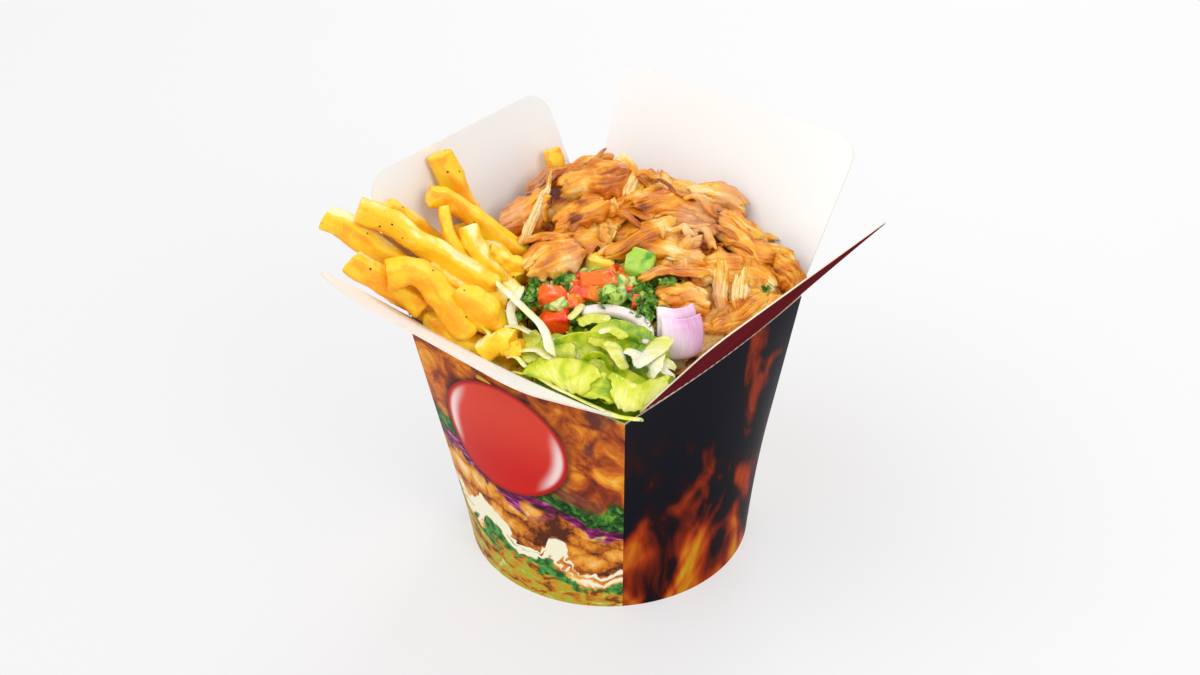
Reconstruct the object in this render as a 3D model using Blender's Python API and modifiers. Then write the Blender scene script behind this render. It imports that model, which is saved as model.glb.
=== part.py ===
"""Kebab box with fries: a folded paperboard carton with its four lid flaps open, full of food.

The carton is square at its rim and round at its foot. Fries lean out of one corner, shaved meat is
heaped at the back, lettuce lies at the front corner, and diced vegetables lie in the middle.
Units are metres and +Z is up. The origin is at the middle of the carton's foot.
"""

import math
import random

import bmesh
import bpy
import numpy as np
from mathutils import Matrix, Vector

MM = 0.001
GAP = 0.3 * MM

# Carton: a square rim, a round foot, and a wall ruled straight from one to the other.
BOARD = 0.5 * MM
RIM_HALF = 50 * MM
RIM_BOW = 2 * MM
FOOT_RADIUS = 53.3 * MM
HINGE_Z = 95.3 * MM
WALL_TOP = HINGE_Z - 0.2 * MM
FOOT_FOLD = 1.4 * MM
FOOT_RECESS = 1.0 * MM
RECESS_TAPER = 0.2 * MM
FLOOR_TOP = FOOT_RECESS + BOARD
SIDE_STEPS = 6
WALL_ROWS = 5
WALL_LEVELS = [WALL_TOP * row / WALL_ROWS for row in range(WALL_ROWS + 1)]

# Lid flaps: quarter turns round the rim, tilt outwards from upright at the left and right ends in
# degrees, height, and how far each side edge is drawn in at the crease and at the free end.
FLAP_START = 0.2 * MM
FLAP_CLEAR = 0.15 * MM
FLAP_COLUMNS = 8
FLAP_ROWS = 3
CORNER_ROWS = 3
ROOM_EXTRA = 0.5
FLAPS = {
    "flap_front": dict(
        turn=0, tilt=(46.0, 50.0), height=57.6 * MM, crease=(1, 3), free=(2, 2), corner=11 * MM, curl=4 * MM
    ),
    "flap_right": dict(
        turn=1, tilt=(35.8, 35.8), height=52.8 * MM, crease=(7, 1), free=(2, -3), corner=9 * MM, curl=0
    ),
    "flap_back": dict(
        turn=2, tilt=(24.2, 24.2), height=57.6 * MM, crease=(1, 1), free=(-4, -3), corner=9 * MM, curl=0
    ),
    "flap_left": dict(
        turn=3, tilt=(20.4, 20.4), height=50.3 * MM, crease=(2, 1), free=(4, 4), corner=10 * MM, curl=0
    ),
}

# Plan of the filling, in metres: fries lie below this sum of x and y, lettuce in front of this y.
FRIES_SUM = -40 * MM
LETTUCE_Y = -14 * MM
PLAN_REACH = 300 * MM
PLAN_LOW = -10 * MM
PLAN_HIGH = 200 * MM
CORE_SHARES = (1.0, 0.86, 0.66, 0.42, 0.2)

# Fries: the two ends, how far the middle is off the straight line between them, and the width, all in
# millimetres.
FRIES = [
    dict(foot=(-18, -47, 113), tip=(-77, -60, 131), bend=(0, 0, 2.5), width=10.4),
    dict(foot=(-22, -42, 118), tip=(-65, -52, 138), bend=(0, 2, 3.0), width=9.6),
    dict(foot=(-15, -42.5, 93), tip=(-70, -58, 117), bend=(0, 0, 1.0), width=9.8),
    dict(foot=(-13, -43, 86), tip=(-50, -47, 117), bend=(-1, 0, 4.0), width=10.0),
    dict(foot=(-30, -19, 108), tip=(-60.5, -11, 139), bend=(0, 0, 1.0), width=9.6),
    dict(foot=(-28, -17, 107), tip=(-58, -30, 132), bend=(2, 2, 1.5), width=9.6),
    dict(foot=(-27, -35, 106), tip=(-52, -25, 129), bend=(0, 0, 0.5), width=6.2),
    dict(foot=(-20, -27, 102), tip=(-46, -22, 122), bend=(0, 0, 1.0), width=8.6),
    dict(foot=(-34, -46, 99), tip=(-60, -56, 113), bend=(0, 0, 0.5), width=9.0),
    dict(foot=(-24, -19, 106), tip=(-44, -15, 114), bend=(0, 0, 1.0), width=8.4),
    dict(foot=(-15, -38, 99), tip=(-38, -38, 108), bend=(0, 0, 2.0), width=11.0),
    dict(foot=(-17, -31, 105), tip=(-47, -30, 115), bend=(0, -1, 1.5), width=9.0),
    dict(foot=(-24, -36, 104), tip=(-44, -44, 122), bend=(0, 0, 1.0), width=9.4),
    dict(foot=(-32, -24, 106), tip=(-53, -18, 119), bend=(0, 0, 1.0), width=9.0),
    dict(foot=(-36, -12, 98), tip=(-52, -3, 108), bend=(0, 0, 0.5), width=8.8),
    dict(foot=(-10, -46, 84), tip=(-11, -40, 98), bend=(0, 0, 0), width=12.5),
]
STANDING_FRY = dict(foot=(-43, 24, 86), tip=(-54.5, 35.5, 127), bend=(0, 0, 0), width=7.4)
FRY_RINGS = 4
FRY_EDGE = 0.22

# Shaved meat: a ridge along the back wall that falls to the middle and to the right-hand corner.
MEAT_LOW = 95 * MM
MEAT_RISE = 22 * MM
MEAT_RIGHT_FALL = 12 * MM
MEAT_CORE_UNDER = 4 * MM
MEAT_ROWS = 4
MEAT_COLUMNS = 6
MEAT_LENGTH = (26 * MM, 40 * MM)
MEAT_WIDTH = (10 * MM, 17 * MM)
MEAT_CURL = (0.9, 1.9)
MEAT_ARCH = (1 * MM, 4 * MM)
MEAT_TWIST = 0.8
MEAT_RAGGED = 0.09
MEAT_THICK = 2.4 * MM
MEAT_SEED = 11

# Lettuce: leaves and shreds over a low mound.
LETTUCE_LOW = 93 * MM
LETTUCE_RISE = 7 * MM
LEAF_THICK = 0.9 * MM
LEAF_WAVES = 2.0
LEAF_RUFFLE = 3.0 * MM
LEAVES = [
    dict(at=(22, -40, 101), length=36, width=22, cup=3, heading=-12, lean=4, roll=22, phase=0.4),
    dict(at=(41, -34, 100), length=32, width=22, cup=4, heading=42, lean=-8, roll=14, phase=1.7),
    dict(at=(11, -33, 101), length=26, width=18, cup=4, heading=-40, lean=2, roll=10, phase=2.6),
    dict(at=(26, -24, 103), length=26, width=18, cup=3, heading=8, lean=4, roll=12, phase=3.9),
    dict(at=(34, -43, 99), length=24, width=16, cup=3, heading=12, lean=6, roll=-16, phase=4.4),
]
SHRED_CURL = 0.7
SHRED_ARCH = 3 * MM
SHRED_TWIST = 1.2
SHREDS = [
    dict(at=(2, -35, 101), length=28, width=3.2, heading=-26, lean=4),
    dict(at=(32, -20, 103), length=24, width=4.0, heading=52, lean=-10),
    dict(at=(26, -46.5, 98.5), length=44, width=4.6, heading=4, lean=1),
    dict(at=(44, -26, 99), length=22, width=3.2, heading=84, lean=2),
]

# Diced vegetables: dice on a flat lens that lies in a hollow of its own.
DICE_CENTRE = Vector((1, -4, 100)) * MM
DICE_RADII = Vector((25, 15, 4.5)) * MM
DICE_TURN = math.radians(40)
DICE_COUNT = 24
DICE_SIZE = (4.2, 6.5)
DICE_LEAN = 50
DICE_HOLLOW = 60 * MM
DICE_SEED = 8

# Toppings that lie on their own: centre and size in millimetres, turn in degrees.
CHUNKS = {
    "tomato_chunk_upper": dict(at=(-7, -20, 105.5), size=(9.5, 7, 9), turn=(6, 4, 40), round=1.4),
    "tomato_chunk_lower": dict(at=(-1.5, -26, 100.5), size=(10.5, 7, 8), turn=(-4, -6, 40), round=1.4),
    "tomato_chunk_back": dict(at=(1, -5, 107.5), size=(13, 7, 7), turn=(8, 0, 40), round=1.6),
    "green_pepper_cube": dict(at=(8, 9.5, 110), size=(10, 10, 10), turn=(20, 12, 20), round=1.2),
    "yellow_pepper_chip": dict(at=(-6, 4, 108), size=(10, 5, 7), turn=(0, 10, 35), round=1.2),
}
CHUNK_COLOURS = {
    "tomato_chunk_upper": "tomato",
    "tomato_chunk_lower": "tomato",
    "tomato_chunk_back": "tomato",
    "green_pepper_cube": "pepper",
    "yellow_pepper_chip": "yellow",
}
ONION_LAYERS = {
    "onion_layer_upper": dict(at=(37.6, -6.2, 104.2), size=(14, 3.2, 15), turn=(-12, 8, 62), bow=-2.5),
    "onion_layer_lower": dict(at=(41.9, -8.6, 102.9), size=(15, 3.2, 15), turn=(-12, 8, 62), bow=-2.5),
}
ONION_ARC = dict(at=(18.8, -25, 102.5), radius=16, sweep=(18, 156), width=4.5, tall=3.5, turn=(4, 0, 0))

COLOURS = {
    "carton": ((0.045, 0.020, 0.022, 1), 0.35),
    "flap": ((0.90, 0.87, 0.82, 1), 0.60),
    "fries": ((0.90, 0.55, 0.06, 1), 0.50),
    "meat": ((0.50, 0.21, 0.07, 1), 0.50),
    "lettuce": ((0.45, 0.60, 0.12, 1), 0.45),
    "dice": ((0.30, 0.45, 0.08, 1), 0.40),
    "tomato": ((0.80, 0.07, 0.02, 1), 0.30),
    "pepper": ((0.22, 0.42, 0.04, 1), 0.30),
    "yellow": ((0.90, 0.60, 0.10, 1), 0.35),
    "onion": ((0.72, 0.42, 0.66, 1), 0.30),
}


def finish(name):
    """A plain material of the named colour."""
    if name in bpy.data.materials:
        return bpy.data.materials[name]
    colour, roughness = COLOURS[name]
    made = bpy.data.materials.new(name)
    made.use_nodes = True
    shader = made.node_tree.nodes["Principled BSDF"]
    shader.inputs["Base Color"].default_value = colour
    shader.inputs["Roughness"].default_value = roughness
    shader.inputs["Metallic"].default_value = 0.0
    return made


def add_object(name, bm, folder, colour):
    """An object made of a bmesh, in a collection and with its material."""
    mesh = bpy.data.meshes.new(name)
    bm.to_mesh(mesh)
    bm.free()
    made = bpy.data.objects.new(name, mesh)
    made.data.materials.append(finish(colour))
    folder.objects.link(made)
    return made


def guide(name, bm, folder):
    """A solid that only cuts or bounds others, so it is hidden from renders."""
    made = add_object(name, bm, folder, "carton")
    made.hide_render = True
    made.display_type = "WIRE"
    return made


def wall_point(side, along, z, inset):
    """A point of the wall: from the foot's arc straight up to the same share of the square rim's side."""
    angle = along * math.pi / 4
    foot = Vector((math.cos(angle), math.sin(angle), 0)) * (FOOT_RADIUS - inset)
    rim = Vector((1, along, 0)) * (RIM_HALF - inset) + Vector((RIM_BOW * (1 - along * along), 0, 0))
    level = foot.lerp(rim, z / HINGE_Z)
    return Matrix.Rotation(side * math.pi / 2, 3, "Z") @ level + Vector((0, 0, z))


def wall_ring(z, inset):
    """One ring of points round the carton at height z, from corner to corner of each side."""
    shares = [2 * step / SIDE_STEPS - 1 for step in range(SIDE_STEPS)]
    return [wall_point(side, along, z, inset) for side in range(4) for along in shares]


def loft(rings, first, last):
    """A closed skin through rings of equal count, drawn to a point at each end.

    Each face is split from its lower start to its upper end, on the way up and on the way down alike,
    so that the two skins of a twisted wall stay apart.
    """
    bm = bmesh.new()
    rows = [[bm.verts.new(point) for point in ring] for ring in rings]
    count = len(rows[0])
    ends = [bm.verts.new(first), bm.verts.new(last)]
    for low, high in zip(rows, rows[1:]):
        for k in range(count):
            nxt = (k + 1) % count
            if high[k].co.z < low[k].co.z:
                bm.faces.new((low[k], low[nxt], high[k]))
                bm.faces.new((low[nxt], high[nxt], high[k]))
            else:
                bm.faces.new((low[k], low[nxt], high[nxt]))
                bm.faces.new((low[k], high[nxt], high[k]))
    for k in range(count):
        nxt = (k + 1) % count
        bm.faces.new((rows[0][nxt], rows[0][k], ends[0]))
        bm.faces.new((rows[-1][k], rows[-1][nxt], ends[1]))
    bmesh.ops.recalc_face_normals(bm, faces=bm.faces)
    return bm


def carton_skin(grow):
    """The carton's two skins as one loft, each moved out of the board by grow."""
    levels = WALL_LEVELS[:-1]
    recess = [point + Vector((0, 0, FOOT_RECESS)) for point in wall_ring(0, FOOT_FOLD + RECESS_TAPER)]
    rings = [recess, wall_ring(0, FOOT_FOLD)]
    rings += [wall_ring(z, -grow) for z in levels]
    rings += [wall_ring(WALL_TOP + grow, inset) for inset in (-grow, BOARD + grow)]
    rings += [wall_ring(z, BOARD + grow) for z in reversed(levels[1:])]
    rings.append(wall_ring(FLOOR_TOP + grow, BOARD + grow))
    return loft(rings, Vector((0, 0, FOOT_RECESS)), Vector((0, 0, FLOOR_TOP + grow)))


def flap_sheet(tilt, height, crease, free, corner, curl):
    """A flap's outer face: rows across it that follow the bowed rim at the crease and are straight at
    the free end, drawn in along an arc near the free corners, with its left edge curled inwards.
    """
    straight = [FLAP_START + (height - corner - FLAP_START) * k / FLAP_ROWS for k in range(FLAP_ROWS)]
    arc = [math.pi / 2 * k / CORNER_ROWS for k in range(CORNER_ROWS + 1)]
    rows = [(z, 0.0) for z in straight]
    rows += [(height - corner + corner * math.sin(a), corner * (1 - math.cos(a))) for a in arc]
    twist = math.radians(tilt[1] - tilt[0]) / 2
    bm = bmesh.new()
    grid = []
    for z, drawn in rows:
        up = z / height
        left = -RIM_HALF + (crease[0] + (free[0] - crease[0]) * up) * MM + drawn
        right = RIM_HALF - (crease[1] + (free[1] - crease[1]) * up) * MM - drawn
        line = []
        for k in range(FLAP_COLUMNS + 1):
            x = left + (right - left) * k / FLAP_COLUMNS
            side = x / RIM_HALF
            inward = RIM_BOW * side * side * (1 - up) - z * twist * side
            inward += curl * up * max(-side, 0) ** 4
            line.append(bm.verts.new((x, FLAP_CLEAR + inward, z)))
        grid.append(line)
    for low, high in zip(grid, grid[1:]):
        for k in range(FLAP_COLUMNS):
            bm.faces.new((low[k], low[k + 1], high[k + 1]))
            bm.faces.new((low[k], high[k + 1], high[k]))
    return bm


def thicken(target, thickness, offset):
    """Gives an open surface its thickness; offset -1 is behind it and 0 is about its middle."""
    solid = target.modifiers.new("thickness", "SOLIDIFY")
    solid.thickness = thickness
    solid.offset = offset
    solid.use_rim = True


def place_flap(target, turn, tilt):
    """Puts a flap on its hinge line, with its origin on the crease, and tilts it outwards."""
    across = Matrix.Rotation(turn * math.pi / 2, 3, "Z")
    target.location = across @ Vector((0, -RIM_HALF - RIM_BOW, HINGE_Z))
    target.rotation_euler = (math.radians(sum(tilt) / 2), 0, turn * math.pi / 2)


def build_flaps(folder, guides):
    """The four lid flaps, and round each the room that the food leaves free."""
    for name, shape in FLAPS.items():
        sheet = {key: shape[key] for key in ("tilt", "height", "crease", "free", "corner", "curl")}
        flap = add_object(name, flap_sheet(**sheet), folder, "flap")
        thicken(flap, BOARD, -1)
        place_flap(flap, shape["turn"], shape["tilt"])
        wider = {key: [inset - ROOM_EXTRA for inset in shape[key]] for key in ("crease", "free")}
        sheet |= wider | {"height": shape["height"] + ROOM_EXTRA * MM}
        room = guide(name + "_room", flap_sheet(**sheet), guides)
        thicken(room, BOARD + 4 * GAP, 0)
        place_flap(room, shape["turn"], shape["tilt"])


def settled(target):
    """Replaces an object's mesh by what its modifiers and place make of it."""
    bpy.context.view_layer.update()
    evaluated = target.evaluated_get(bpy.context.evaluated_depsgraph_get())
    mesh = bpy.data.meshes.new_from_object(evaluated)
    mesh.transform(target.matrix_world)
    target.modifiers.clear()
    target.data = mesh
    target.matrix_world = Matrix.Identity(4)


def join(target, others):
    """Fuses every object of a collection onto a solid."""
    for other in others.objects:
        settled(other)
    change = target.modifiers.new("join", "BOOLEAN")
    change.operation = "UNION"
    change.operand_type = "COLLECTION"
    change.collection = others
    change.solver = "MANIFOLD"
    settled(target)


def cut(target, operation, others):
    """Cuts or bounds a solid by each object of a collection in turn."""
    for other in others.objects:
        change = target.modifiers.new(other.name, "BOOLEAN")
        change.operation = operation
        change.object = other
        change.solver = "MANIFOLD"
    settled(target)


def clear_folder(folder):
    """Removes a collection and the objects in it."""
    for item in list(folder.objects):
        bpy.data.objects.remove(item)
    bpy.data.collections.remove(folder)


def span(points):
    """The volume of the upright box round some points."""
    sides = [max(p[axis] for p in points) - min(p[axis] for p in points) for axis in range(3)]
    return sides[0] * sides[1] * sides[2]


def largest_body(target):
    """Drops loose scraps and sealed hollows, which leaves the one outer skin."""
    bm = bmesh.new()
    bm.from_mesh(target.data)
    unseen = set(bm.verts)
    bodies = []
    while unseen:
        stack = [unseen.pop()]
        body = set(stack)
        while stack:
            for edge in stack.pop().link_edges:
                for vert in edge.verts:
                    if vert in unseen:
                        unseen.discard(vert)
                        body.add(vert)
                        stack.append(vert)
        bodies.append(body)
    keep = max(bodies, key=lambda body: span([vert.co for vert in body]))
    bmesh.ops.delete(bm, geom=[v for v in bm.verts if v not in keep], context="VERTS")
    bm.to_mesh(target.data)
    bm.free()


def new_folder(name):
    """A collection in the scene."""
    made = bpy.data.collections.new(name)
    bpy.context.scene.collection.children.link(made)
    return made


def prism(outline, low, high):
    """An upright solid over a plan outline."""
    bm = bmesh.new()
    base = bm.faces.new([bm.verts.new((x, y, low)) for x, y in outline])
    rise = bmesh.ops.extrude_face_region(bm, geom=[base])
    top = [item for item in rise["geom"] if isinstance(item, bmesh.types.BMVert)]
    bmesh.ops.translate(bm, verts=top, vec=(0, 0, high - low))
    bmesh.ops.recalc_face_normals(bm, faces=bm.faces)
    return bm


def cell_outline(kind):
    """The plan of one part of the filling, half a gap inside the lines between the three parts."""
    far = PLAN_REACH
    half = GAP / 2
    slant = FRIES_SUM - half * math.sqrt(2)
    beyond = FRIES_SUM + half * math.sqrt(2)
    if kind == "fries":
        return [(slant + far, -far), (slant - far, far), (-3 * far, -far)]
    if kind == "lettuce":
        y = LETTUCE_Y - half
        return [(beyond - y, y), (beyond + far, -far), (far * 2, -far), (far * 2, y)]
    y = LETTUCE_Y + half
    return [(beyond - y, y), (far * 2, y), (far * 2, far), (beyond - far, far)]


def smooth(value):
    """An even rise from 0 to 1 as value goes from 0 to 1."""
    value = min(max(value, 0.0), 1.0)
    return value * value * (3 - 2 * value)


def meat_top(x, y):
    """Height of the meat's heap: high along the back wall, lower in the middle and at the right."""
    back = smooth((y + 14 * MM) / (52 * MM))
    right = smooth((x - 12 * MM) / (40 * MM))
    return MEAT_LOW + 5 * MM + MEAT_RISE * back - MEAT_RIGHT_FALL * right * (0.4 + 0.6 * back)


def filling_top(kind, x, y):
    """Height of the plain core under each part of the filling, which is lower along the wall."""
    inside = RIM_HALF - max(abs(x), abs(y))
    if kind == "fries":
        return (91 + 9 * smooth(inside / (16 * MM))) * MM
    if kind == "lettuce":
        return LETTUCE_LOW + LETTUCE_RISE * smooth(inside / (20 * MM))
    edge = smooth(inside / (9 * MM))
    return (meat_top(x, y) - MEAT_CORE_UNDER) * edge + (WALL_TOP - 2 * MM) * (1 - edge)


def core(kind, name, folder, colour):
    """The plain body under a heap: the carton's inside, domed on top, kept to its own plan."""
    inset = BOARD + GAP
    levels = [FLOOR_TOP + GAP, *WALL_LEVELS[1:-1]]
    rings = [wall_ring(z, inset) for z in levels]
    for share in CORE_SHARES:
        plan = [point * share for point in wall_ring(WALL_TOP, inset)]
        rings.append([Vector((p.x, p.y, filling_top(kind, p.x, p.y))) for p in plan])
    top = Vector((0, 0, filling_top(kind, 0, 0)))
    body = add_object(name, loft(rings, Vector((0, 0, levels[0])), top), folder, colour)
    bound = new_folder(name + "_bound")
    guide(name + "_cell", prism(cell_outline(kind), PLAN_LOW, PLAN_HIGH), bound)
    cut(body, "INTERSECT", bound)
    clear_folder(bound)
    return body


def finish_heap(body, pieces, guides, kind):
    """Fuses the pieces onto their core and keeps the result clear of carton, flaps and neighbours."""
    join(body, pieces)
    clear_folder(pieces)
    cut(body, "DIFFERENCE", guides)
    if kind:
        bound = new_folder(body.name + "_bound")
        guide(body.name + "_cell", prism(cell_outline(kind), PLAN_LOW, PLAN_HIGH), bound)
        cut(body, "INTERSECT", bound)
        clear_folder(bound)
    largest_body(body)


def fry(name, folder, foot, tip, bend, width, colour="fries", grow=0.0):
    """A square stick with its long edges taken off, bowed between its ends and blunt at both."""
    bm = bmesh.new()
    bmesh.ops.create_cube(bm, size=1.0)
    long_edges = [e for e in bm.edges if abs(e.verts[0].co.z - e.verts[1].co.z) > 0.5]
    bmesh.ops.bevel(bm, geom=long_edges, offset=FRY_EDGE, segments=1, profile=0.5, affect="EDGES")
    long_edges = [e for e in bm.edges if abs(e.verts[0].co.z - e.verts[1].co.z) > 0.5]
    bmesh.ops.subdivide_edges(bm, edges=long_edges, cuts=FRY_RINGS - 1, use_grid_fill=True)
    foot, tip, bend = Vector(foot), Vector(tip), Vector(bend)
    run = (tip - foot).normalized()
    aside = run.cross(Vector((0, 0, 1))).normalized()
    above = run.cross(aside)
    for vert in bm.verts:
        share = vert.co.z + 0.5
        end = 0.9 if share in (0.0, 1.0) else 1.0
        middle = foot.lerp(tip, share) + bend * 4 * share * (1 - share)
        size = (width * end + grow) * (1 + 0.06 * math.sin(9 * share + width * 7))
        vert.co = (middle + (aside * vert.co.x + above * vert.co.y) * size) * MM
    return add_object(name, bm, folder, colour)


def sheet_solid(name, points, folder, thickness, colour):
    """A thin solid about a grid of points, split into triangles before it gets its thickness."""
    rows, columns = points.shape[:2]
    bm = bmesh.new()
    verts = [[bm.verts.new(points[i, j]) for j in range(columns)] for i in range(rows)]
    for i in range(rows - 1):
        for j in range(columns - 1):
            a, b, c, d = verts[i][j], verts[i][j + 1], verts[i + 1][j + 1], verts[i + 1][j]
            bm.faces.new((a, b, c))
            bm.faces.new((a, c, d))
    made = add_object(name, bm, folder, colour)
    thicken(made, thickness, 0)
    return made


def curled_slice(length, width, curl, arch, twist, ragged, phase, rows=5, columns=3):
    """A strip bent across its width into an arc, arched along its length, twisted, with uneven edges."""
    s = np.linspace(-0.5, 0.5, rows)[:, None]
    t = np.linspace(-0.5, 0.5, columns)[None, :]
    radius = width / max(curl, 0.05)
    wide = 1 + ragged * np.sin(9 * s + phase) + ragged * np.sin(17 * s * np.sign(t) + 2 * phase)
    y = radius * np.sin(curl * t) * wide
    z = radius * (np.cos(curl * t) - 1) + arch * (1 - 4 * s * s)
    angle = twist * s
    x = length * s + 0 * t
    across = y * np.cos(angle) - z * np.sin(angle)
    above = y * np.sin(angle) + z * np.cos(angle)
    return np.stack([x, across, above], axis=-1)


def laid(points, at, heading, lean, roll):
    """Turns a grid of points by roll, lean and heading, in degrees, and moves it to its place."""
    turn = Matrix.Rotation(math.radians(heading), 3, "Z")
    turn @= Matrix.Rotation(math.radians(lean), 3, "Y")
    turn @= Matrix.Rotation(math.radians(roll), 3, "X")
    return points @ np.array(turn).T + np.array(at)


def build_fries(folder, guides):
    """The fries that lean out of the corner between the front and the left flap."""
    body = core("fries", "fries", folder, "fries")
    pieces = new_folder("fry_pieces")
    for index, shape in enumerate(FRIES):
        fry(f"fry_{index}", pieces, **shape)
    finish_heap(body, pieces, guides, "fries")


def build_meat(folder, guides):
    """Shaved slices of meat over a ridge, each a curled strip that lies along the slope."""
    body = core("meat", "shaved_meat", folder, "meat")
    pieces = new_folder("meat_pieces")
    draw = random.Random(MEAT_SEED)
    for index in range(MEAT_ROWS * MEAT_COLUMNS):
        column, row = index % MEAT_COLUMNS, index // MEAT_COLUMNS
        x = (-38 + 15 * column + draw.uniform(-5, 5)) * MM
        y = (41 - 14 * row + draw.uniform(-4, 4)) * MM
        if x + y < FRIES_SUM + 6 * MM or y < LETTUCE_Y + 3 * MM:
            continue
        size = draw.uniform(*MEAT_LENGTH), draw.uniform(*MEAT_WIDTH)
        bend = draw.uniform(*MEAT_CURL), draw.uniform(*MEAT_ARCH), draw.uniform(-MEAT_TWIST, MEAT_TWIST)
        points = curled_slice(*size, *bend, MEAT_RAGGED, draw.uniform(0, 6))
        slope = math.degrees(math.atan2(meat_top(x, y + 5 * MM) - meat_top(x, y - 5 * MM), 10 * MM))
        heading = draw.uniform(-40, 60)
        place = (x, y, meat_top(x, y) - 0.5 * MM + draw.uniform(-2, 2) * MM)
        roll = slope * math.cos(math.radians(heading)) + draw.uniform(-14, 14)
        lean = -slope * math.sin(math.radians(heading)) + draw.uniform(-12, 12)
        sheet_solid(f"slice_{index}", laid(points, place, heading, lean, roll), pieces, MEAT_THICK, "meat")
    finish_heap(body, pieces, guides, "meat")


def ruffled_leaf(length, width, cup, waves, ruffle, phase, rows=6, columns=4):
    """A leaf cupped along its length, whose two long edges rise and fall in waves."""
    s = np.linspace(-0.5, 0.5, rows)[:, None]
    t = np.linspace(-0.5, 0.5, columns)[None, :]
    wide = np.sqrt(np.clip(1 - (1.7 * s) ** 2, 0.08, 1))
    y = width * t * wide
    z = cup * (4 * t * t) + ruffle * np.sin(2 * np.pi * waves * s + phase) * (2 * t) ** 2 * np.sign(t + 0.1)
    z = z - 0.35 * length * s * s
    return np.stack([length * s + 0 * t, y, z + 0 * s], axis=-1)


def build_lettuce(folder, guides):
    """Torn leaves and shreds of lettuce, some over the rim at the front corner."""
    body = core("lettuce", "lettuce", folder, "lettuce")
    pieces = new_folder("lettuce_pieces")
    for index, leaf in enumerate(LEAVES):
        size = dict(length=leaf["length"] * MM, width=leaf["width"] * MM, cup=leaf["cup"] * MM)
        points = ruffled_leaf(waves=LEAF_WAVES, ruffle=LEAF_RUFFLE, phase=leaf["phase"], **size)
        place = Vector(leaf["at"]) * MM
        grid = laid(points, place, leaf["heading"], leaf["lean"], leaf["roll"])
        sheet_solid(f"leaf_{index}", grid, pieces, LEAF_THICK, "lettuce")
    for index, shred in enumerate(SHREDS):
        size = shred["length"] * MM, shred["width"] * MM
        points = curled_slice(*size, SHRED_CURL, SHRED_ARCH, SHRED_TWIST, 0.0, index, rows=6, columns=2)
        grid = laid(points, Vector(shred["at"]) * MM, shred["heading"], shred["lean"], 0)
        sheet_solid(f"shred_{index}", grid, pieces, LEAF_THICK, "lettuce")
    finish_heap(body, pieces, guides, "lettuce")


def block(size, edge, grow=0.0):
    """A box with its edges taken off."""
    bm = bmesh.new()
    bmesh.ops.create_cube(bm, size=1.0)
    bmesh.ops.scale(bm, verts=bm.verts, vec=[(side + grow) * MM for side in size])
    bmesh.ops.bevel(bm, geom=bm.edges[:], offset=edge * MM, segments=1, profile=0.5, affect="EDGES")
    return bm


def turned(degrees, at):
    """The place of a piece: turned about X, Y and Z in degrees, then moved, in millimetres."""
    rotation = Matrix.Identity(4)
    for angle, axis in zip(degrees, "XYZ"):
        rotation = Matrix.Rotation(math.radians(angle), 4, axis) @ rotation
    return Matrix.Translation(Vector(at) * MM) @ rotation


def chunk(name, folder, colour, at, size, turn, round, grow=0.0):
    """A cut cube of a vegetable with its edges taken off."""
    bm = block(size, round, grow)
    bmesh.ops.transform(bm, matrix=turned(turn, at), verts=bm.verts)
    return add_object(name, bm, folder, colour)


def onion_layer(name, folder, at, size, turn, bow, grow=0.0):
    """A cut piece of an onion layer: a curved plate."""
    length, thick, tall = size
    x = np.linspace(-0.5, 0.5, 5)[:, None] * (length + grow) * MM
    z = np.linspace(-0.5, 0.5, 4)[None, :] * (tall + grow) * MM
    y = -bow * MM * (2 * x / (length * MM)) ** 2 - 0.6 * bow * MM * (2 * z / (tall * MM)) ** 2
    points = np.stack([x + 0 * z, y, z + 0 * x], axis=-1).reshape(-1, 3)
    place = np.array(turned(turn, at))
    points = (points @ place[:3, :3].T + place[:3, 3]).reshape(5, 4, 3)
    return sheet_solid(name, points, folder, (thick + grow) * MM, "onion")


def onion_arc(name, folder, grow=0.0):
    """Half a ring of onion: an arc of a flat band with a square section."""
    shape = ONION_ARC
    start, stop = (math.radians(angle) for angle in shape["sweep"])
    slack = 0.5 * grow / shape["radius"]
    angles = np.linspace(start - slack, stop + slack, 12)[:, None]
    z = np.linspace(-0.5, 0.5, 2)[None, :] * (shape["tall"] + grow)
    x = np.cos(angles) * shape["radius"] + 0 * z
    y = np.sin(angles) * shape["radius"] + 0 * z
    points = np.stack([x, y, z + 0 * angles], axis=-1)
    place = np.array(turned(shape["turn"], shape["at"]))
    points = (points * MM) @ place[:3, :3].T + place[:3, 3]
    return sheet_solid(name, points, folder, (shape["width"] + grow) * MM, "onion")


def build_toppings(folder, grow=0.0, suffix=""):
    """The single toppings, or the room round each of them where grow is more than nothing."""
    made = []
    for name, shape in CHUNKS.items():
        made.append(chunk(name + suffix, folder, CHUNK_COLOURS[name], grow=grow, **shape))
    for name, shape in ONION_LAYERS.items():
        made.append(onion_layer(name + suffix, folder, grow=grow, **shape))
    made.append(onion_arc("onion_arc" + suffix, folder, grow=grow))
    made.append(fry("standing_fry" + suffix, folder, grow=grow, **STANDING_FRY))
    return made


def dice_lens(grow, raised=0.0):
    """A low lens, an oval in plan, whose upper half can be raised to make it an upright hollow."""
    bm = bmesh.new()
    bmesh.ops.create_uvsphere(bm, u_segments=20, v_segments=8, radius=1.0)
    bmesh.ops.scale(bm, verts=bm.verts, vec=DICE_RADII + Vector((grow, grow, grow)))
    for vert in bm.verts:
        if vert.co.z > 0.1 * MM:
            vert.co.z += raised
    bmesh.ops.rotate(bm, verts=bm.verts, matrix=Matrix.Rotation(DICE_TURN, 3, "Z"))
    bmesh.ops.translate(bm, verts=bm.verts, vec=DICE_CENTRE)
    return bm


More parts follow.
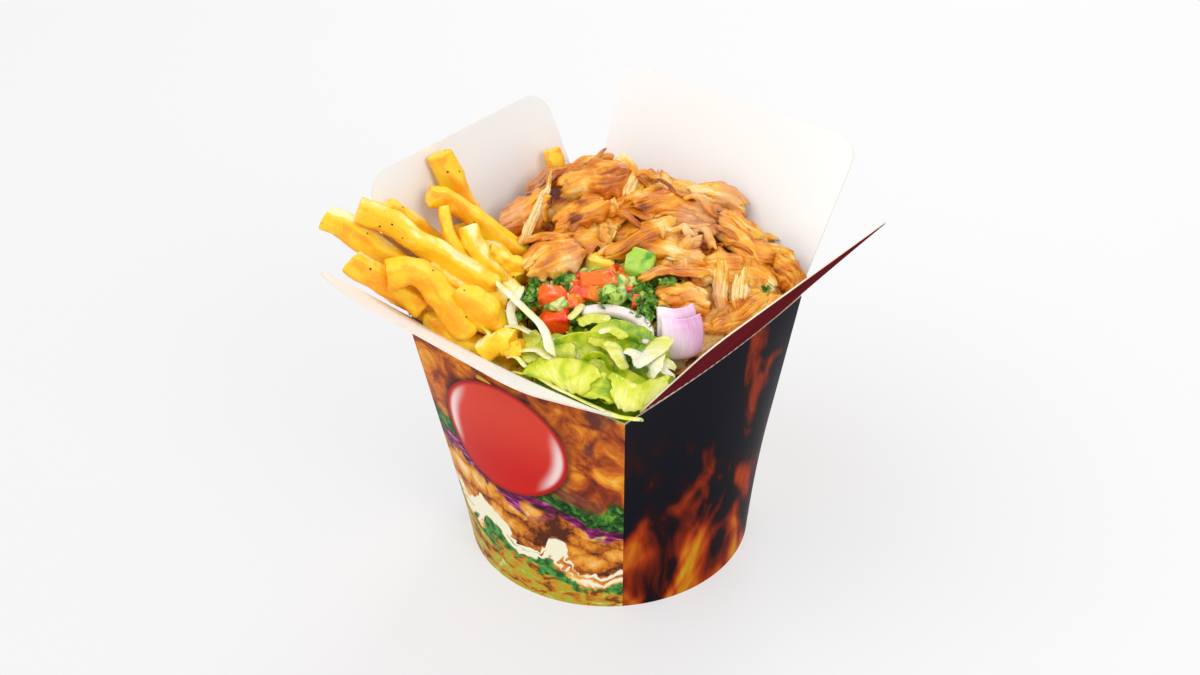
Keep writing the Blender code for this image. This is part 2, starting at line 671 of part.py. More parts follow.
def build_dice(folder, guides):
    """Small dice of pepper and cucumber on a flat lens."""
    body = add_object("diced_vegetables", dice_lens(0.0), folder, "dice")
    pieces = new_folder("dice_pieces")
    draw = random.Random(DICE_SEED)
    golden = math.pi * (3 - math.sqrt(5))
    across = Matrix.Rotation(DICE_TURN, 3, "Z")
    for index in range(DICE_COUNT):
        share = math.sqrt((index + 0.5) / DICE_COUNT) * 0.86
        angle = index * golden
        plan = Vector((DICE_RADII.x * share * math.cos(angle), DICE_RADII.y * share * math.sin(angle), 0))
        rise = DICE_RADII.z * math.sqrt(1 - share * share) + draw.uniform(0, 1.5) * MM
        place = DICE_CENTRE + across @ plan + Vector((0, 0, rise))
        size = [draw.uniform(*DICE_SIZE) for _ in range(3)]
        turn = [draw.uniform(-DICE_LEAN, DICE_LEAN) for _ in range(3)]
        bm = bmesh.new()
        bmesh.ops.create_cube(bm, size=1.0)
        bmesh.ops.scale(bm, verts=bm.verts, vec=[side * MM for side in size])
        bmesh.ops.transform(bm, matrix=turned(turn, place / MM), verts=bm.verts)
        add_object(f"die_{index}", bm, pieces, "dice")
    finish_heap(body, pieces, guides, None)
    bound = new_folder("dice_bound")
    guide("dice_column", dice_lens(0.0, DICE_HOLLOW), bound)
    cut(body, "INTERSECT", bound)
    clear_folder(bound)
    largest_body(body)


def build():
    """The whole object, from an empty file: carton, flaps, single toppings, then the heaps round them."""
    for item in list(bpy.data.objects):
        bpy.data.objects.remove(item)
    parts = new_folder("kebab_box_with_fries")
    guides = new_folder("guides")
    guides.hide_render = True
    add_object("carton", carton_skin(0.0), parts, "carton")
    guide("carton_room", carton_skin(GAP), guides)
    build_flaps(parts, guides)
    build_toppings(parts)
    rooms = build_toppings(guides, grow=2 * GAP / MM, suffix="_room")
    for room in rooms:
        room.hide_render = True
        room.display_type = "WIRE"
    build_dice(parts, guides)
    guide("dice_room", dice_lens(GAP, DICE_HOLLOW), guides)
    build_fries(parts, guides)
    build_meat(parts, guides)
    build_lettuce(parts, guides)
    clear_folder(guides)


build()
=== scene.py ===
"""Looks of a kebab box with fries: a printed paperboard carton with four open flaps, full of food.

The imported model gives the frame, and every piece here is laid in it. Units are metres, +Z is up.
"""

import math

import bmesh
import bpy
import numpy as np
from mathutils import Matrix, Vector


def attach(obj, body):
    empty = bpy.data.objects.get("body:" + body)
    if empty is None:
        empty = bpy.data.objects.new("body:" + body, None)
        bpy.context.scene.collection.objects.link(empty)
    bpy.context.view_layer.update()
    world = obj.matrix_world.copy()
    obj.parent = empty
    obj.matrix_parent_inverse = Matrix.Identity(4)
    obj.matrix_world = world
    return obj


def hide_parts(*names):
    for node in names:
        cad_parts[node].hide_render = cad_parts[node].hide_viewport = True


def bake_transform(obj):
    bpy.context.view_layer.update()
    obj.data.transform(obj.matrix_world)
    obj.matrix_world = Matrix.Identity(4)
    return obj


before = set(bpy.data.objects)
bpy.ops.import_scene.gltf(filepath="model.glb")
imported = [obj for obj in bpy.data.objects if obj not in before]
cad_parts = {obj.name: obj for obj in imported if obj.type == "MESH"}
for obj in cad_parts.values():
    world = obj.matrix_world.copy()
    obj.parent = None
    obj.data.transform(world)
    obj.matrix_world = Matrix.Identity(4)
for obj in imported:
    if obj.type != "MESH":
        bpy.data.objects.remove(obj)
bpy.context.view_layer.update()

MM = 0.001
look = bpy.context.scene
look.view_settings.view_transform = "Standard"

# The view: a long lens looks down at the corner between the two printed sides, a little rolled, with
# the box a little above the middle of the picture, which the lens shift gives.
PHOTO_WIDTH = 1200
LENS = 51.0
CAMERA_ELEVATION = math.radians(35.40)
CAMERA_AZIMUTH = math.radians(40.52)
CAMERA_ROLL = math.radians(-0.94)
CAMERA_AIM = Vector((0, 0, 0.06))
CAMERA_DISTANCE = 0.6268
SHIFT_PIXELS = (-7.34, 49.55)

lens = bpy.data.cameras.new("camera")
camera = bpy.data.objects.new("camera", lens)
look.collection.objects.link(camera)
back = Vector((
    math.sin(CAMERA_AZIMUTH) * math.cos(CAMERA_ELEVATION),
    -math.cos(CAMERA_AZIMUTH) * math.cos(CAMERA_ELEVATION),
    math.sin(CAMERA_ELEVATION),
))
right = Vector((math.cos(CAMERA_AZIMUTH), math.sin(CAMERA_AZIMUTH), 0))
up = back.cross(right)
rolled_right = right * math.cos(CAMERA_ROLL) + up * math.sin(CAMERA_ROLL)
rolled_up = up * math.cos(CAMERA_ROLL) - right * math.sin(CAMERA_ROLL)
stand = Matrix((rolled_right, rolled_up, back)).transposed().to_4x4()
stand.translation = CAMERA_AIM + back * CAMERA_DISTANCE
camera.matrix_world = stand
lens.lens = LENS
lens.sensor_width = 36
lens.shift_x, lens.shift_y = (pixels / PHOTO_WIDTH for pixels in SHIFT_PIXELS)
lens.clip_start = 0.01
look.camera = camera


def add(tree, kind, sockets=None, **settings):
    """A shader node with its settings, and its sockets set to values or linked to other sockets."""
    made = tree.nodes.new("ShaderNode" + kind)
    for key, value in settings.items():
        setattr(made, key, value)
    for key, value in (sockets or {}).items():
        if isinstance(value, bpy.types.NodeSocket):
            tree.links.new(value, made.inputs[key])
        else:
            made.inputs[key].default_value = value
    return made


def finish(name, colour, roughness, **sockets):
    """A material of one colour and roughness, and its tree and shader for what is added to it."""
    made = bpy.data.materials.new(name)
    made.use_nodes = True
    shader = made.node_tree.nodes["Principled BSDF"]
    shader.inputs["Base Color"].default_value = (*colour, 1)
    shader.inputs["Roughness"].default_value = roughness
    for key, value in sockets.items():
        shader.inputs[key.replace("_", " ")].default_value = value
    made.diffuse_color = (*colour, 1)
    return made, made.node_tree, shader


# The table: a plain pale ground that runs out of the picture, lit a little from below like a light
# table, so that shadows on it stay soft. It isn't part of the object.
FLOOR_COLOUR = (0.30, 0.30, 0.302)
FLOOR_GLOW = 0.55
FLOOR_REACH = 6.0

floor_mesh = bpy.data.meshes.new("floor")
floor_mesh.from_pydata(
    [(-FLOOR_REACH, -FLOOR_REACH, 0), (FLOOR_REACH, -FLOOR_REACH, 0), (FLOOR_REACH, FLOOR_REACH, 0),
     (-FLOOR_REACH, FLOOR_REACH, 0)], [], [(0, 1, 2, 3)],
)
floor = bpy.data.objects.new("floor", floor_mesh)
look.collection.objects.link(floor)
floor.data.materials.append(finish("floor_paint", FLOOR_COLOUR, 0.7, Emission_Strength=FLOOR_GLOW)[0])

# Studio light: a pale tent all round, a broad even key from the upper left as of a large window, and
# two smaller soft boxes behind and at the right, which give the wet food its glints.
TENT_STRENGTH = 0.62
KEY_FROM = (-0.30, -0.62, 1.20)
KEY_STRENGTH = 1.28
KEY_ANGLE = math.radians(55)
LAMPS = {
    "fill": dict(at=(0.85, -0.25, 0.75), size=0.45, power=3.4),
    "glint": dict(at=(-0.25, 0.75, 0.80), size=0.34, power=2.6),
}

tent = bpy.data.worlds.new("tent")
look.world = tent
tent.use_nodes = True
tent.node_tree.nodes["Background"].inputs["Color"].default_value = (1, 1, 1, 1)
tent.node_tree.nodes["Background"].inputs["Strength"].default_value = TENT_STRENGTH


def aim_light(name, kind, at, energy):
    """A light at a place that shines at the box."""
    light = bpy.data.lights.new(name, kind)
    light.energy = energy
    holder = bpy.data.objects.new(name, light)
    look.collection.objects.link(holder)
    holder.location = at
    holder.rotation_euler = (CAMERA_AIM - Vector(at)).to_track_quat("-Z", "Y").to_euler()
    return light


aim_light("key", "SUN", KEY_FROM, KEY_STRENGTH).angle = KEY_ANGLE
for name, lamp in LAMPS.items():
    aim_light(name, "AREA", lamp["at"], lamp["power"]).size = lamp["size"]


# The carton: one folded blank of half-millimetre board, square at the rim and round at the foot, so
# that each wall is ruled straight from an arc of the foot to a slightly bowed side of the rim. It is
# printed outside with two designs that meet at the creases, and is bare white inside.
BOARD = 0.5 * MM
RIM_HALF = 50 * MM
RIM_BOW = 2 * MM
FOOT_RADIUS = 53.3 * MM
HINGE_Z = 95.3 * MM
WALL_TOP = HINGE_Z - 0.3 * MM
FOOT_FOLD = 1.4 * MM
FOOT_RECESS = 1.0 * MM
ACROSS = 48
LEVELS = 40


def wall_points(along, z, inset):
    """Points of the -Y wall: along runs -1 to 1 over its width, and each point goes straight from the
    foot's arc at 45 degrees times along to the same share of the bowed rim, by height over rim height.
    """
    angle = along * np.pi / 4
    foot = np.stack([np.sin(angle), -np.cos(angle)], axis=-1) * (FOOT_RADIUS - inset)[..., None]
    bow = RIM_BOW * (1 - along**2)
    rim = np.stack([along * (RIM_HALF - inset), -(RIM_HALF - inset) - bow], axis=-1)
    share = (z / HINGE_Z)[..., None]
    plan = foot * (1 - share) + rim * share
    return np.concatenate([plan, z[..., None]], axis=-1)


def quarter(points, turns):
    """Points turned by quarter turns round the upright axis."""
    x, y = points[..., 0], points[..., 1]
    for _ in range(turns % 4):
        x, y = -y, x
    return np.stack([x, y, points[..., 2]], axis=-1)


def grid_mesh(name, points, finishes, ring=False, uv=None, tint=None, pick=None, smooth=True):
    """One closed or open mesh from a stack of grids, points[piece, row, column], with the last column
    joined to the first where ring is set. Points that fall together, as at a pole, become one.
    """
    if points.ndim == 3:
        points = points[None]
        uv = uv[None] if uv is not None else None
    pieces, rows, columns = points.shape[:3]
    index = np.arange(pieces * rows * columns).reshape(pieces, rows, columns)
    if ring:
        index = np.concatenate([index, index[:, :, :1]], axis=2)
    quads = np.stack([index[:, :-1, :-1], index[:, :-1, 1:], index[:, 1:, 1:], index[:, 1:, :-1]], axis=-1)
    quads = quads.reshape(-1, 4)
    mesh = bpy.data.meshes.new(name)
    mesh.vertices.add(points.size // 3)
    mesh.vertices.foreach_set("co", points.astype(np.float32).ravel())
    mesh.loops.add(quads.size)
    mesh.loops.foreach_set("vertex_index", quads.astype(np.int32).ravel())
    mesh.polygons.add(len(quads))
    mesh.polygons.foreach_set("loop_start", np.arange(0, quads.size, 4, dtype=np.int32))
    if pick is not None:
        mesh.polygons.foreach_set("material_index", pick.astype(np.int32).ravel())
    if uv is not None:
        layer = mesh.uv_layers.new(name="flat")
        layer.data.foreach_set("uv", uv.reshape(-1, 2)[quads.ravel()].astype(np.float32).ravel())
    if tint is not None:
        values = np.broadcast_to(tint, points.shape[:3]).astype(np.float32).ravel()
        mesh.attributes.new("tint", "FLOAT", "POINT").data.foreach_set("value", values)
    mesh.update(calc_edges=True)
    return dress(name, mesh, finishes, smooth)


def dress(name, mesh, finishes, smooth=True):
    """An object for a mesh, welded where points meet, with its materials and smooth faces."""
    bm = bmesh.new()
    bm.from_mesh(mesh)
    bmesh.ops.remove_doubles(bm, verts=bm.verts, dist=0.002 * MM)
    bmesh.ops.recalc_face_normals(bm, faces=bm.faces)
    bm.to_mesh(mesh)
    bm.free()
    made = bpy.data.objects.new(name, mesh)
    look.collection.objects.link(made)
    for material in finishes:
        mesh.materials.append(material)
    mesh.polygons.foreach_set("use_smooth", np.full(len(mesh.polygons), smooth))
    return made


def ramp(tree, value, stops, smooth=False):
    """Colours along a value: stops are pairs of place and colour."""
    made = add(tree, "ValToRGB", {"Fac": value})
    colours = made.color_ramp
    colours.interpolation = "EASE" if smooth else "LINEAR"
    while len(colours.elements) < len(stops):
        colours.elements.new(0.5)
    for element, (place, colour) in zip(colours.elements, stops):
        element.position = place
        element.color = (*colour, 1)
    return made.outputs["Color"]


def over(tree, mask, under, upper):
    """One colour laid over another by a mask."""
    made = add(tree, "Mix", data_type="RGBA")
    for socket, value in ((made.inputs[0], mask), (made.inputs[6], under), (made.inputs[7], upper)):
        if isinstance(value, bpy.types.NodeSocket):
            tree.links.new(value, socket)
        else:
            socket.default_value = value if isinstance(value, float) else (*value, 1)
    return made.outputs[2]


def between(tree, value, low, high, start=0.0, end=1.0):
    """A value spread from one range onto another with soft ends, and held at both."""
    spread = add(tree, "MapRange", {
        "Value": value, "From Min": low, "From Max": high, "To Min": start, "To Max": end,
    }, interpolation_type="SMOOTHSTEP")
    return spread.outputs["Result"]


def plus(tree, first, second):
    """One value added to another."""
    return add(tree, "Math", {0: first, 1: second}, operation="ADD").outputs[0]


def minus(tree, first, second):
    """One value less another."""
    return add(tree, "Math", {0: first, 1: second}, operation="SUBTRACT").outputs[0]


def times(tree, first, second):
    """One value times another."""
    return add(tree, "Math", {0: first, 1: second}, operation="MULTIPLY").outputs[0]


def size_of(tree, value):
    """A value without its sign."""
    return add(tree, "Math", {0: value}, operation="ABSOLUTE").outputs[0]


def solid_place(tree):
    """The place in the object's own space."""
    return add(tree, "TexCoord").outputs["Object"]


def sheet_across_up(tree):
    """How far across and how far up the flat sheet a point lies."""
    split = add(tree, "SeparateXYZ", {"Vector": add(tree, "TexCoord").outputs["UV"]})
    return split.outputs["X"], split.outputs["Y"]


def piece_tone(tree):
    """The tone that the mesh gives each of its pieces."""
    return add(tree, "Attribute", attribute_name="tint").outputs["Fac"]


def colour_with(tree, shader, colour, roughness=None):
    """Worked-out colour, and roughness where it is given, fed to a material's shader."""
    tree.links.new(colour, shader.inputs["Base Color"])
    if roughness is not None:
        tree.links.new(roughness, shader.inputs["Roughness"])


def flat_place(tree, wide=1.0, tall=1.0, off=(0.0, 0.0)):
    """The flat place on the sheet, stretched and moved."""
    place = add(tree, "TexCoord").outputs["UV"]
    return add(tree, "Mapping", {"Vector": place, "Scale": (wide, tall, 1), "Location": (*off, 0)}).outputs[0]


def clouds(tree, place, scale, detail=4.0, rough=0.55, warp=0.0):
    """Noise at a place, from 0 to 1."""
    return add(tree, "TexNoise", {
        "Vector": place, "Scale": scale, "Detail": detail, "Roughness": rough, "Distortion": warp,
    }).outputs["Fac"]


# Print of the front and back walls, in offset inks under a thin varnish: bands of cloudy orange, leafy
# green, plum, golden flakes, a pale wavy thread and green and gold below, and a plain red oval.
OVAL_AT = (0.452, 0.676)
OVAL_SIZE = (0.318, 0.230)
OVAL_TILT = math.radians(-7.4)
BAND_SLOPE = 0.10
FLAKE_TILT = math.radians(-30)
THREAD_HEIGHTS = (0.195, 0.235)

warm_print, tree, shader = finish("warm_print", (0.6, 0.2, 0.03), 0.42, Specular_IOR_Level=0.12)
sheet = flat_place(tree)
u, v = sheet_across_up(tree)
broad = clouds(tree, flat_place(tree, 4.2, 4.2), 1.0, 3, 0.6, 0.8)
streaks = clouds(tree, flat_place(tree, 7.5, 9.5), 1.0, 6, 0.58, 0.7)
fine = clouds(tree, flat_place(tree, 30, 30), 1.0, 5, 0.6, 0.5)
flame_field = ramp(tree, streaks, [
    (0.28, (0.03, 0.004, 0.004)), (0.42, (0.30, 0.036, 0.004)), (0.54, (0.66, 0.15, 0.006)),
    (0.66, (0.90, 0.38, 0.020)), (0.80, (1.0, 0.68, 0.20)),
])
dusky = over(tree, between(tree, broad, 0.50, 0.62, 0.0, 0.82), flame_field, (0.10, 0.018, 0.022))
level = plus(tree, v, between(tree, broad, 0.3, 0.7, -0.05, 0.05))
level = plus(tree, level, times(tree, minus(tree, u, 0.5), BAND_SLOPE))
leafy = ramp(tree, clouds(tree, flat_place(tree, 22, 26, (3.1, 0)), 1.0, 5, 0.6, 1.2), [
    (0.36, (0.001, 0.012, 0.002)), (0.50, (0.010, 0.085, 0.006)), (0.62, (0.07, 0.26, 0.02)),
    (0.78, (0.34, 0.52, 0.09)),
])
plum = ramp(tree, clouds(tree, flat_place(tree, 10, 44, (0, 5.2)), 1.0, 3, 0.5, 1.4), [
    (0.38, (0.018, 0.001, 0.008)), (0.50, (0.12, 0.003, 0.055)), (0.60, (0.42, 0.015, 0.22)),
    (0.74, (0.78, 0.30, 0.56)),
])
flake_place = add(tree, "VectorRotate", {
    "Vector": flat_place(tree, 6, 13), "Angle": FLAKE_TILT,
}, rotation_type="Z_AXIS")
bent = add(tree, "TexNoise", {"Vector": flat_place(tree, 7, 7), "Scale": 1.0, "Detail": 4.0}).outputs["Color"]
flake_place = add(tree, "VectorMath", {0: flake_place.outputs[0], 1: bent}, operation="ADD").outputs[0]
flakes = add(tree, "TexVoronoi", {"Vector": flake_place, "Scale": 1.0}, feature="F1")
flake_lot = add(tree, "SeparateColor", {"Color": flakes.outputs["Color"]}).outputs[0]
dome = minus(tree, plus(tree, times(tree, flake_lot, 0.42), 0.72), flakes.outputs["Distance"])
dome = plus(tree, dome, times(tree, minus(tree, fine, 0.5), 0.9))
flake_field = ramp(tree, dome, [
    (0.08, (0.09, 0.016, 0.003)), (0.28, (0.46, 0.11, 0.006)), (0.50, (0.78, 0.29, 0.020)),
    (0.70, (0.88, 0.45, 0.09)), (0.92, (0.96, 0.68, 0.34)),
])
lime = ramp(tree, clouds(tree, flat_place(tree, 12, 24, (7.7, 0)), 1.0, 4, 0.6, 1.0), [
    (0.38, (0.20, 0.045, 0.003)), (0.5, (0.64, 0.27, 0.016)), (0.60, (0.36, 0.42, 0.02)),
    (0.78, (0.80, 0.78, 0.34)),
])
wave = add(tree, "TexWave", {
    "Vector": flat_place(tree, 0.7, 1.0), "Scale": 1.3, "Distortion": 1.5, "Detail": 1.0,
}).outputs["Fac"]
dip = plus(tree, level, between(tree, wave, 0.0, 1.0, -0.03, 0.03))
slices_green = ramp(tree, fine, [(0.4, (0.008, 0.09, 0.012)), (0.6, (0.09, 0.34, 0.06))])
front = over(tree, between(tree, level, 0.12, 0.135), lime, slices_green)
front = over(tree, between(tree, dip, 0.165, 0.18), front, flake_field)
for height in THREAD_HEIGHTS:
    thread = size_of(tree, minus(tree, dip, height))
    thread = plus(tree, thread, between(tree, broad, 0.35, 0.65, -0.016, 0.010))
    front = over(tree, between(tree, thread, 0.004, 0.014, 1.0, 0.0), front, (0.93, 0.88, 0.66))
front = over(tree, between(tree, level, 0.40, 0.43), front, plum)
front = over(tree, between(tree, level, 0.47, 0.49), front, leafy)
front = over(tree, between(tree, level, 0.555, 0.60), front, dusky)
ends = add(tree, "VectorMath", {0: sheet, 1: (OVAL_AT[0], OVAL_AT[1], 0)}, operation="SUBTRACT").outputs[0]
turned = add(tree, "VectorRotate", {"Vector": ends, "Angle": OVAL_TILT}, rotation_type="Z_AXIS").outputs[0]
shrink = (1 / OVAL_SIZE[0], 1 / OVAL_SIZE[1], 0)
stretched = add(tree, "VectorMath", {0: turned, 1: shrink}, operation="MULTIPLY").outputs[0]
rim_distance = add(tree, "VectorMath", {0: stretched}, operation="LENGTH").outputs["Value"]
oval_split = add(tree, "SeparateXYZ", {"Vector": stretched})
oval_x, oval_y = oval_split.outputs["X"], oval_split.outputs["Y"]
oval_colour = over(tree, between(tree, oval_y, -0.7, 0.7), (0.62, 0.008, 0.004), (0.80, 0.06, 0.03))
crescent = between(tree, rim_distance, 0.70, 0.86)
crescent = times(tree, crescent, between(tree, rim_distance, 0.88, 0.96, 1.0, 0.0))
shine_side = size_of(tree, plus(tree, oval_x, times(tree, oval_y, -0.25)))
crescent = times(tree, crescent, between(tree, shine_side, 0.62, 0.90, 0.0, 0.85))
oval_colour = over(tree, crescent, oval_colour, (1.0, 0.82, 0.80))
oval_colour = over(tree, between(tree, rim_distance, 0.90, 0.99), oval_colour, (0.44, 0.004, 0.003))
front = over(tree, between(tree, rim_distance, 1.0, 1.09, 0.7, 0.0), front, (0.02, 0.004, 0.002))
front = over(tree, between(tree, rim_distance, 0.985, 1.005, 1.0, 0.0), front, oval_colour)
colour_with(tree, shader, front, between(tree, rim_distance, 0.97, 1.0, 0.30, 0.42))

# Print of the two side walls: near-black blue with flame tongues that rise from a yellow glow.
flame_print, tree, shader = finish("flame_print", (0.01, 0.01, 0.02), 0.42, Specular_IOR_Level=0.03)
_, v = sheet_across_up(tree)
drift = between(tree, clouds(tree, flat_place(tree, 1.6, 1.3, (0.7, 0.4)), 1.0, 2, 0.5, 0.3), 0.36, 0.64)
tongues = between(tree, clouds(tree, flat_place(tree, 3.0, 2.0, (2.6, 0.9)), 1.0, 2, 0.5, 1.3), 0.34, 0.66)
wisps = clouds(tree, flat_place(tree, 5.0, 3.4, (0.2, 4.0)), 1.0, 4, 0.5, 1.6)
heat = plus(tree, times(tree, tongues, 0.60), times(tree, drift, 0.36))
heat = minus(tree, plus(tree, heat, 0.14), times(tree, v, 0.78))
heat = plus(tree, heat, times(tree, minus(tree, wisps, 0.5), 0.95))
flames = ramp(tree, heat, [
    (0.04, (0.0035, 0.0035, 0.0085)), (0.20, (0.018, 0.003, 0.004)), (0.36, (0.13, 0.011, 0.003)),
    (0.54, (0.36, 0.036, 0.004)), (0.74, (0.55, 0.14, 0.006)), (0.97, (0.56, 0.36, 0.012)),
])
colour_with(tree, shader, flames)

# Bare board: white clay-coated card inside, and its cream cut edge. Its faint mottle, like the grain of
# every food further down, is raised by one shared relief.
def effect(name, inputs, outputs):
    """An empty shader node group with named sockets, what it is given, and what it puts out."""
    made = bpy.data.node_groups.new(name, "ShaderNodeTree")
    for side, sockets in (("INPUT", inputs), ("OUTPUT", outputs)):
        for socket, kind in sockets.items():
            made.interface.new_socket(name=socket, in_out=side, socket_type="NodeSocket" + kind)
    return made, made.nodes.new("NodeGroupInput").outputs, made.nodes.new("NodeGroupOutput").inputs


relief, given, put_out = effect(
    "relief", {"Height": "Float", "Strength": "Float", "Distance": "Float"}, {"Normal": "Vector"},
)
raised = add(relief, "Bump", {key: given[key] for key in ("Height", "Strength", "Distance")})
relief.links.new(raised.outputs["Normal"], put_out["Normal"])


def raised_by(tree, height, strength, distance):
    """The normal of a surface that a value raises."""
    return add(tree, "Group", {
        "Height": height, "Strength": strength, "Distance": distance,
    }, node_tree=relief).outputs["Normal"]


board_white, tree, shader = finish("board_white", (0.91, 0.91, 0.905), 0.45)
mottle = clouds(tree, solid_place(tree), 900, 3)
tree.links.new(raised_by(tree, mottle, 0.08, 0.0002), shader.inputs["Normal"])
board_edge, tree, shader = finish("board_edge", (0.84, 0.74, 0.60), 0.8)
fibre = clouds(tree, solid_place(tree), 2500, 4)
colour_with(tree, shader, ramp(tree, fibre, [(0.3, (0.74, 0.62, 0.47)), (0.7, (0.90, 0.82, 0.70))]))

# Each wall is one grid from the middle of the recessed foot, out round its folded rim, up the outside,
# over the cut edge, down the inside and in over the floor. Four of them close the carton.
along = np.linspace(-1, 1, ACROSS + 1)
climb = np.linspace(0, WALL_TOP, LEVELS + 1)
heights = np.concatenate([[FOOT_RECESS, FOOT_RECESS, 0.0], climb, climb[:0:-1], [FOOT_RECESS + BOARD] * 2])
insets = np.concatenate([
    [FOOT_RADIUS, FOOT_FOLD, FOOT_FOLD], np.zeros(LEVELS + 1), np.full(LEVELS, BOARD), [BOARD, FOOT_RADIUS],
])
z_rows, across_all = np.meshgrid(heights, along, indexing="ij")
inset_rows = np.meshgrid(insets, along, indexing="ij")[0]
wall = wall_points(across_all, z_rows, inset_rows)
wall[[0, -1], :, :2] = 0
walls = np.stack([quarter(wall, turn) for turn in range(4)])
flat = np.stack([(across_all + 1) / 2, z_rows / HINGE_Z], axis=-1)
flat_all = np.stack([flat] * 4)
kinds = np.full((4, len(heights) - 1, ACROSS), 2)
kinds[:, 3:3 + LEVELS] = np.array([0, 1, 0, 1])[:, None, None]
kinds[:, 3 + LEVELS] = 3
carton = grid_mesh(
    "carton_board", walls, [warm_print, flame_print, board_white, board_edge], uv=flat_all, pick=kinds,
)
carton.data.set_sharp_from_angle(angle=math.radians(24))


def belongs(piece, node):
    """A piece that rides on the box and stands for a node, which it hides."""
    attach(piece, "box")
    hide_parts(node)


belongs(carton, "carton")

# The four lid flaps: each goes on from the top of its wall over a creased, part-cut line, so it starts
# on the bowed rim, is straight at its free end, and has two rounded free corners. Plain dark red
# outside, white inside.
FLAPS = {
    "flap_front": dict(turn=0, tilt=(46.0, 50.0), height=57.6, crease=(1, 3), free=(2, 2),
        corner=11, curl=4),
    "flap_right": dict(turn=1, tilt=(35.8, 35.8), height=52.8, crease=(7, 1), free=(2, -3),
        corner=9, curl=0),
    "flap_back": dict(turn=2, tilt=(24.2, 24.2), height=57.6, crease=(1, 1), free=(-4, -3),
        corner=9, curl=0),
    "flap_left": dict(turn=3, tilt=(20.4, 20.4), height=50.3, crease=(2, 1), free=(4, 4),
        corner=10, curl=0),
}
FLAP_ROWS = 26
FLAP_COLUMNS = 44
CREASE_REACH = 1.4 * MM

flap_red, tree, shader = finish("flap_red", (0.13, 0.012, 0.016), 0.6, Specular_IOR_Level=0.0)
_, v = sheet_across_up(tree)
dashes = add(tree, "TexWave", {
    "Vector": flat_place(tree, 1.0, 0.0), "Scale": 9.0, "Distortion": 0.6, "Detail": 1.0,
}).outputs["Fac"]
nick = times(tree, between(tree, v, 0.004, 0.012, 1.0, 0.0), between(tree, dashes, 0.25, 0.45))
tone = clouds(tree, solid_place(tree), 60, 3)
red = ramp(tree, tone, [(0.3, (0.105, 0.010, 0.014)), (0.7, (0.155, 0.016, 0.020))])
colour_with(tree, shader, over(tree, nick, red, (0.80, 0.62, 0.58)))


def flap_points(shape, inward):
    """A flap's face as rows up it and columns across it. Its sides run from the crease insets to the
    free-end insets and are drawn in along a quarter round at the corners; across, it follows the bowed
    rim less and less towards its free end; inward moves it into the board.
    """
    height, corner = shape["height"] * MM, shape["corner"] * MM
    crease_rows = np.linspace(-0.3 * MM, CREASE_REACH, 7)[:-1]
    straight_rows = np.concatenate([crease_rows, np.linspace(CREASE_REACH, height - corner, FLAP_ROWS)])
    straight = straight_rows[:, None] + 0 * along_flap
    arc = np.linspace(0, np.pi / 2, 12)[1:, None]
    z = np.concatenate([straight, height - corner + corner * np.sin(arc) + 0 * along_flap])
    drawn = np.concatenate([0 * straight, corner * (1 - np.cos(arc)) + 0 * along_flap])
    rise = z / height
    crease, free = shape["crease"], shape["free"]
    left = -RIM_HALF + (crease[0] + (free[0] - crease[0]) * rise) * MM + drawn
    right_side = RIM_HALF - (crease[1] + (free[1] - crease[1]) * rise) * MM - drawn
    x = left + (right_side - left) * along_flap
    side = x / RIM_HALF
    twist = math.radians(shape["tilt"][1] - shape["tilt"][0]) / 2
    y = RIM_BOW * side**2 * (1 - np.clip(rise, 0, 1)) - z * twist * side
    y = y + shape["curl"] * MM * np.clip(rise, 0, 1) * np.clip(-side, 0, None) ** 4 + inward
    lean = math.radians(sum(shape["tilt"]) / 2)
    out = y * math.cos(lean) - z * math.sin(lean)
    up_flap = y * math.sin(lean) + z * math.cos(lean)
    points = np.stack([x, out - RIM_HALF - RIM_BOW, up_flap + HINGE_Z], axis=-1)
    return points, np.stack([x / (2 * RIM_HALF) + 0.5, z / HINGE_Z], axis=-1)


along_flap = np.linspace(0, 1, FLAP_COLUMNS + 1)[None, :]
for name, shape in FLAPS.items():
    outer, outer_flat = flap_points(shape, 0.0)
    inner, inner_flat = flap_points(shape, BOARD)
    stack = np.concatenate([outer, inner[:, ::-1]], axis=1)
    flat = np.concatenate([outer_flat, inner_flat[:, ::-1]], axis=1)
    first, last = stack[:1].copy(), stack[-1:].copy()
    middle = FLAP_COLUMNS + 1
    for row in (first, last):
        row[:, middle:] = row[:, :middle][:, ::-1]
    stack = np.concatenate([first, stack, last])
    flat = np.concatenate([flat[:1], flat, flat[-1:]])
    kinds = np.full((stack.shape[0] - 1, stack.shape[1]), 2)
    kinds[1:-1, :FLAP_COLUMNS] = 0
    kinds[1:-1, FLAP_COLUMNS + 1:-1] = 1
    flap = grid_mesh(
        name + "_board", quarter(stack, shape["turn"]), [flap_red, board_white, board_edge], ring=True,
        uv=flat, pick=kinds[None],
    )
    flap.data.set_sharp_from_angle(angle=math.radians(35))
    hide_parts(name)
    lean = math.radians(sum(shape["tilt"]) / 2)
    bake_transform(flap)

# The bed under the food: each part of the filling is a closed body of its own that stands on the
# carton's floor, fills its share of the plan, and is domed and lumpy on top. Little of it shows, and
# each bed is toned darker than the pieces on it, as painted shade in the gaps between them.
FLOOR_TOP = FOOT_RECESS + BOARD
BED_INSET = 1.2 * MM
BED_GAP = 0.2 * MM
BED_SHOULDER = 88 * MM
FRIES_SUM = -40 * MM
LETTUCE_Y = -14 * MM
BED_AROUND = 120


def soft_step(value):
    """An even rise from 0 to 1 as the value goes from 0 to 1."""
    value = np.clip(value, 0, 1)
    return value * value * (3 - 2 * value)


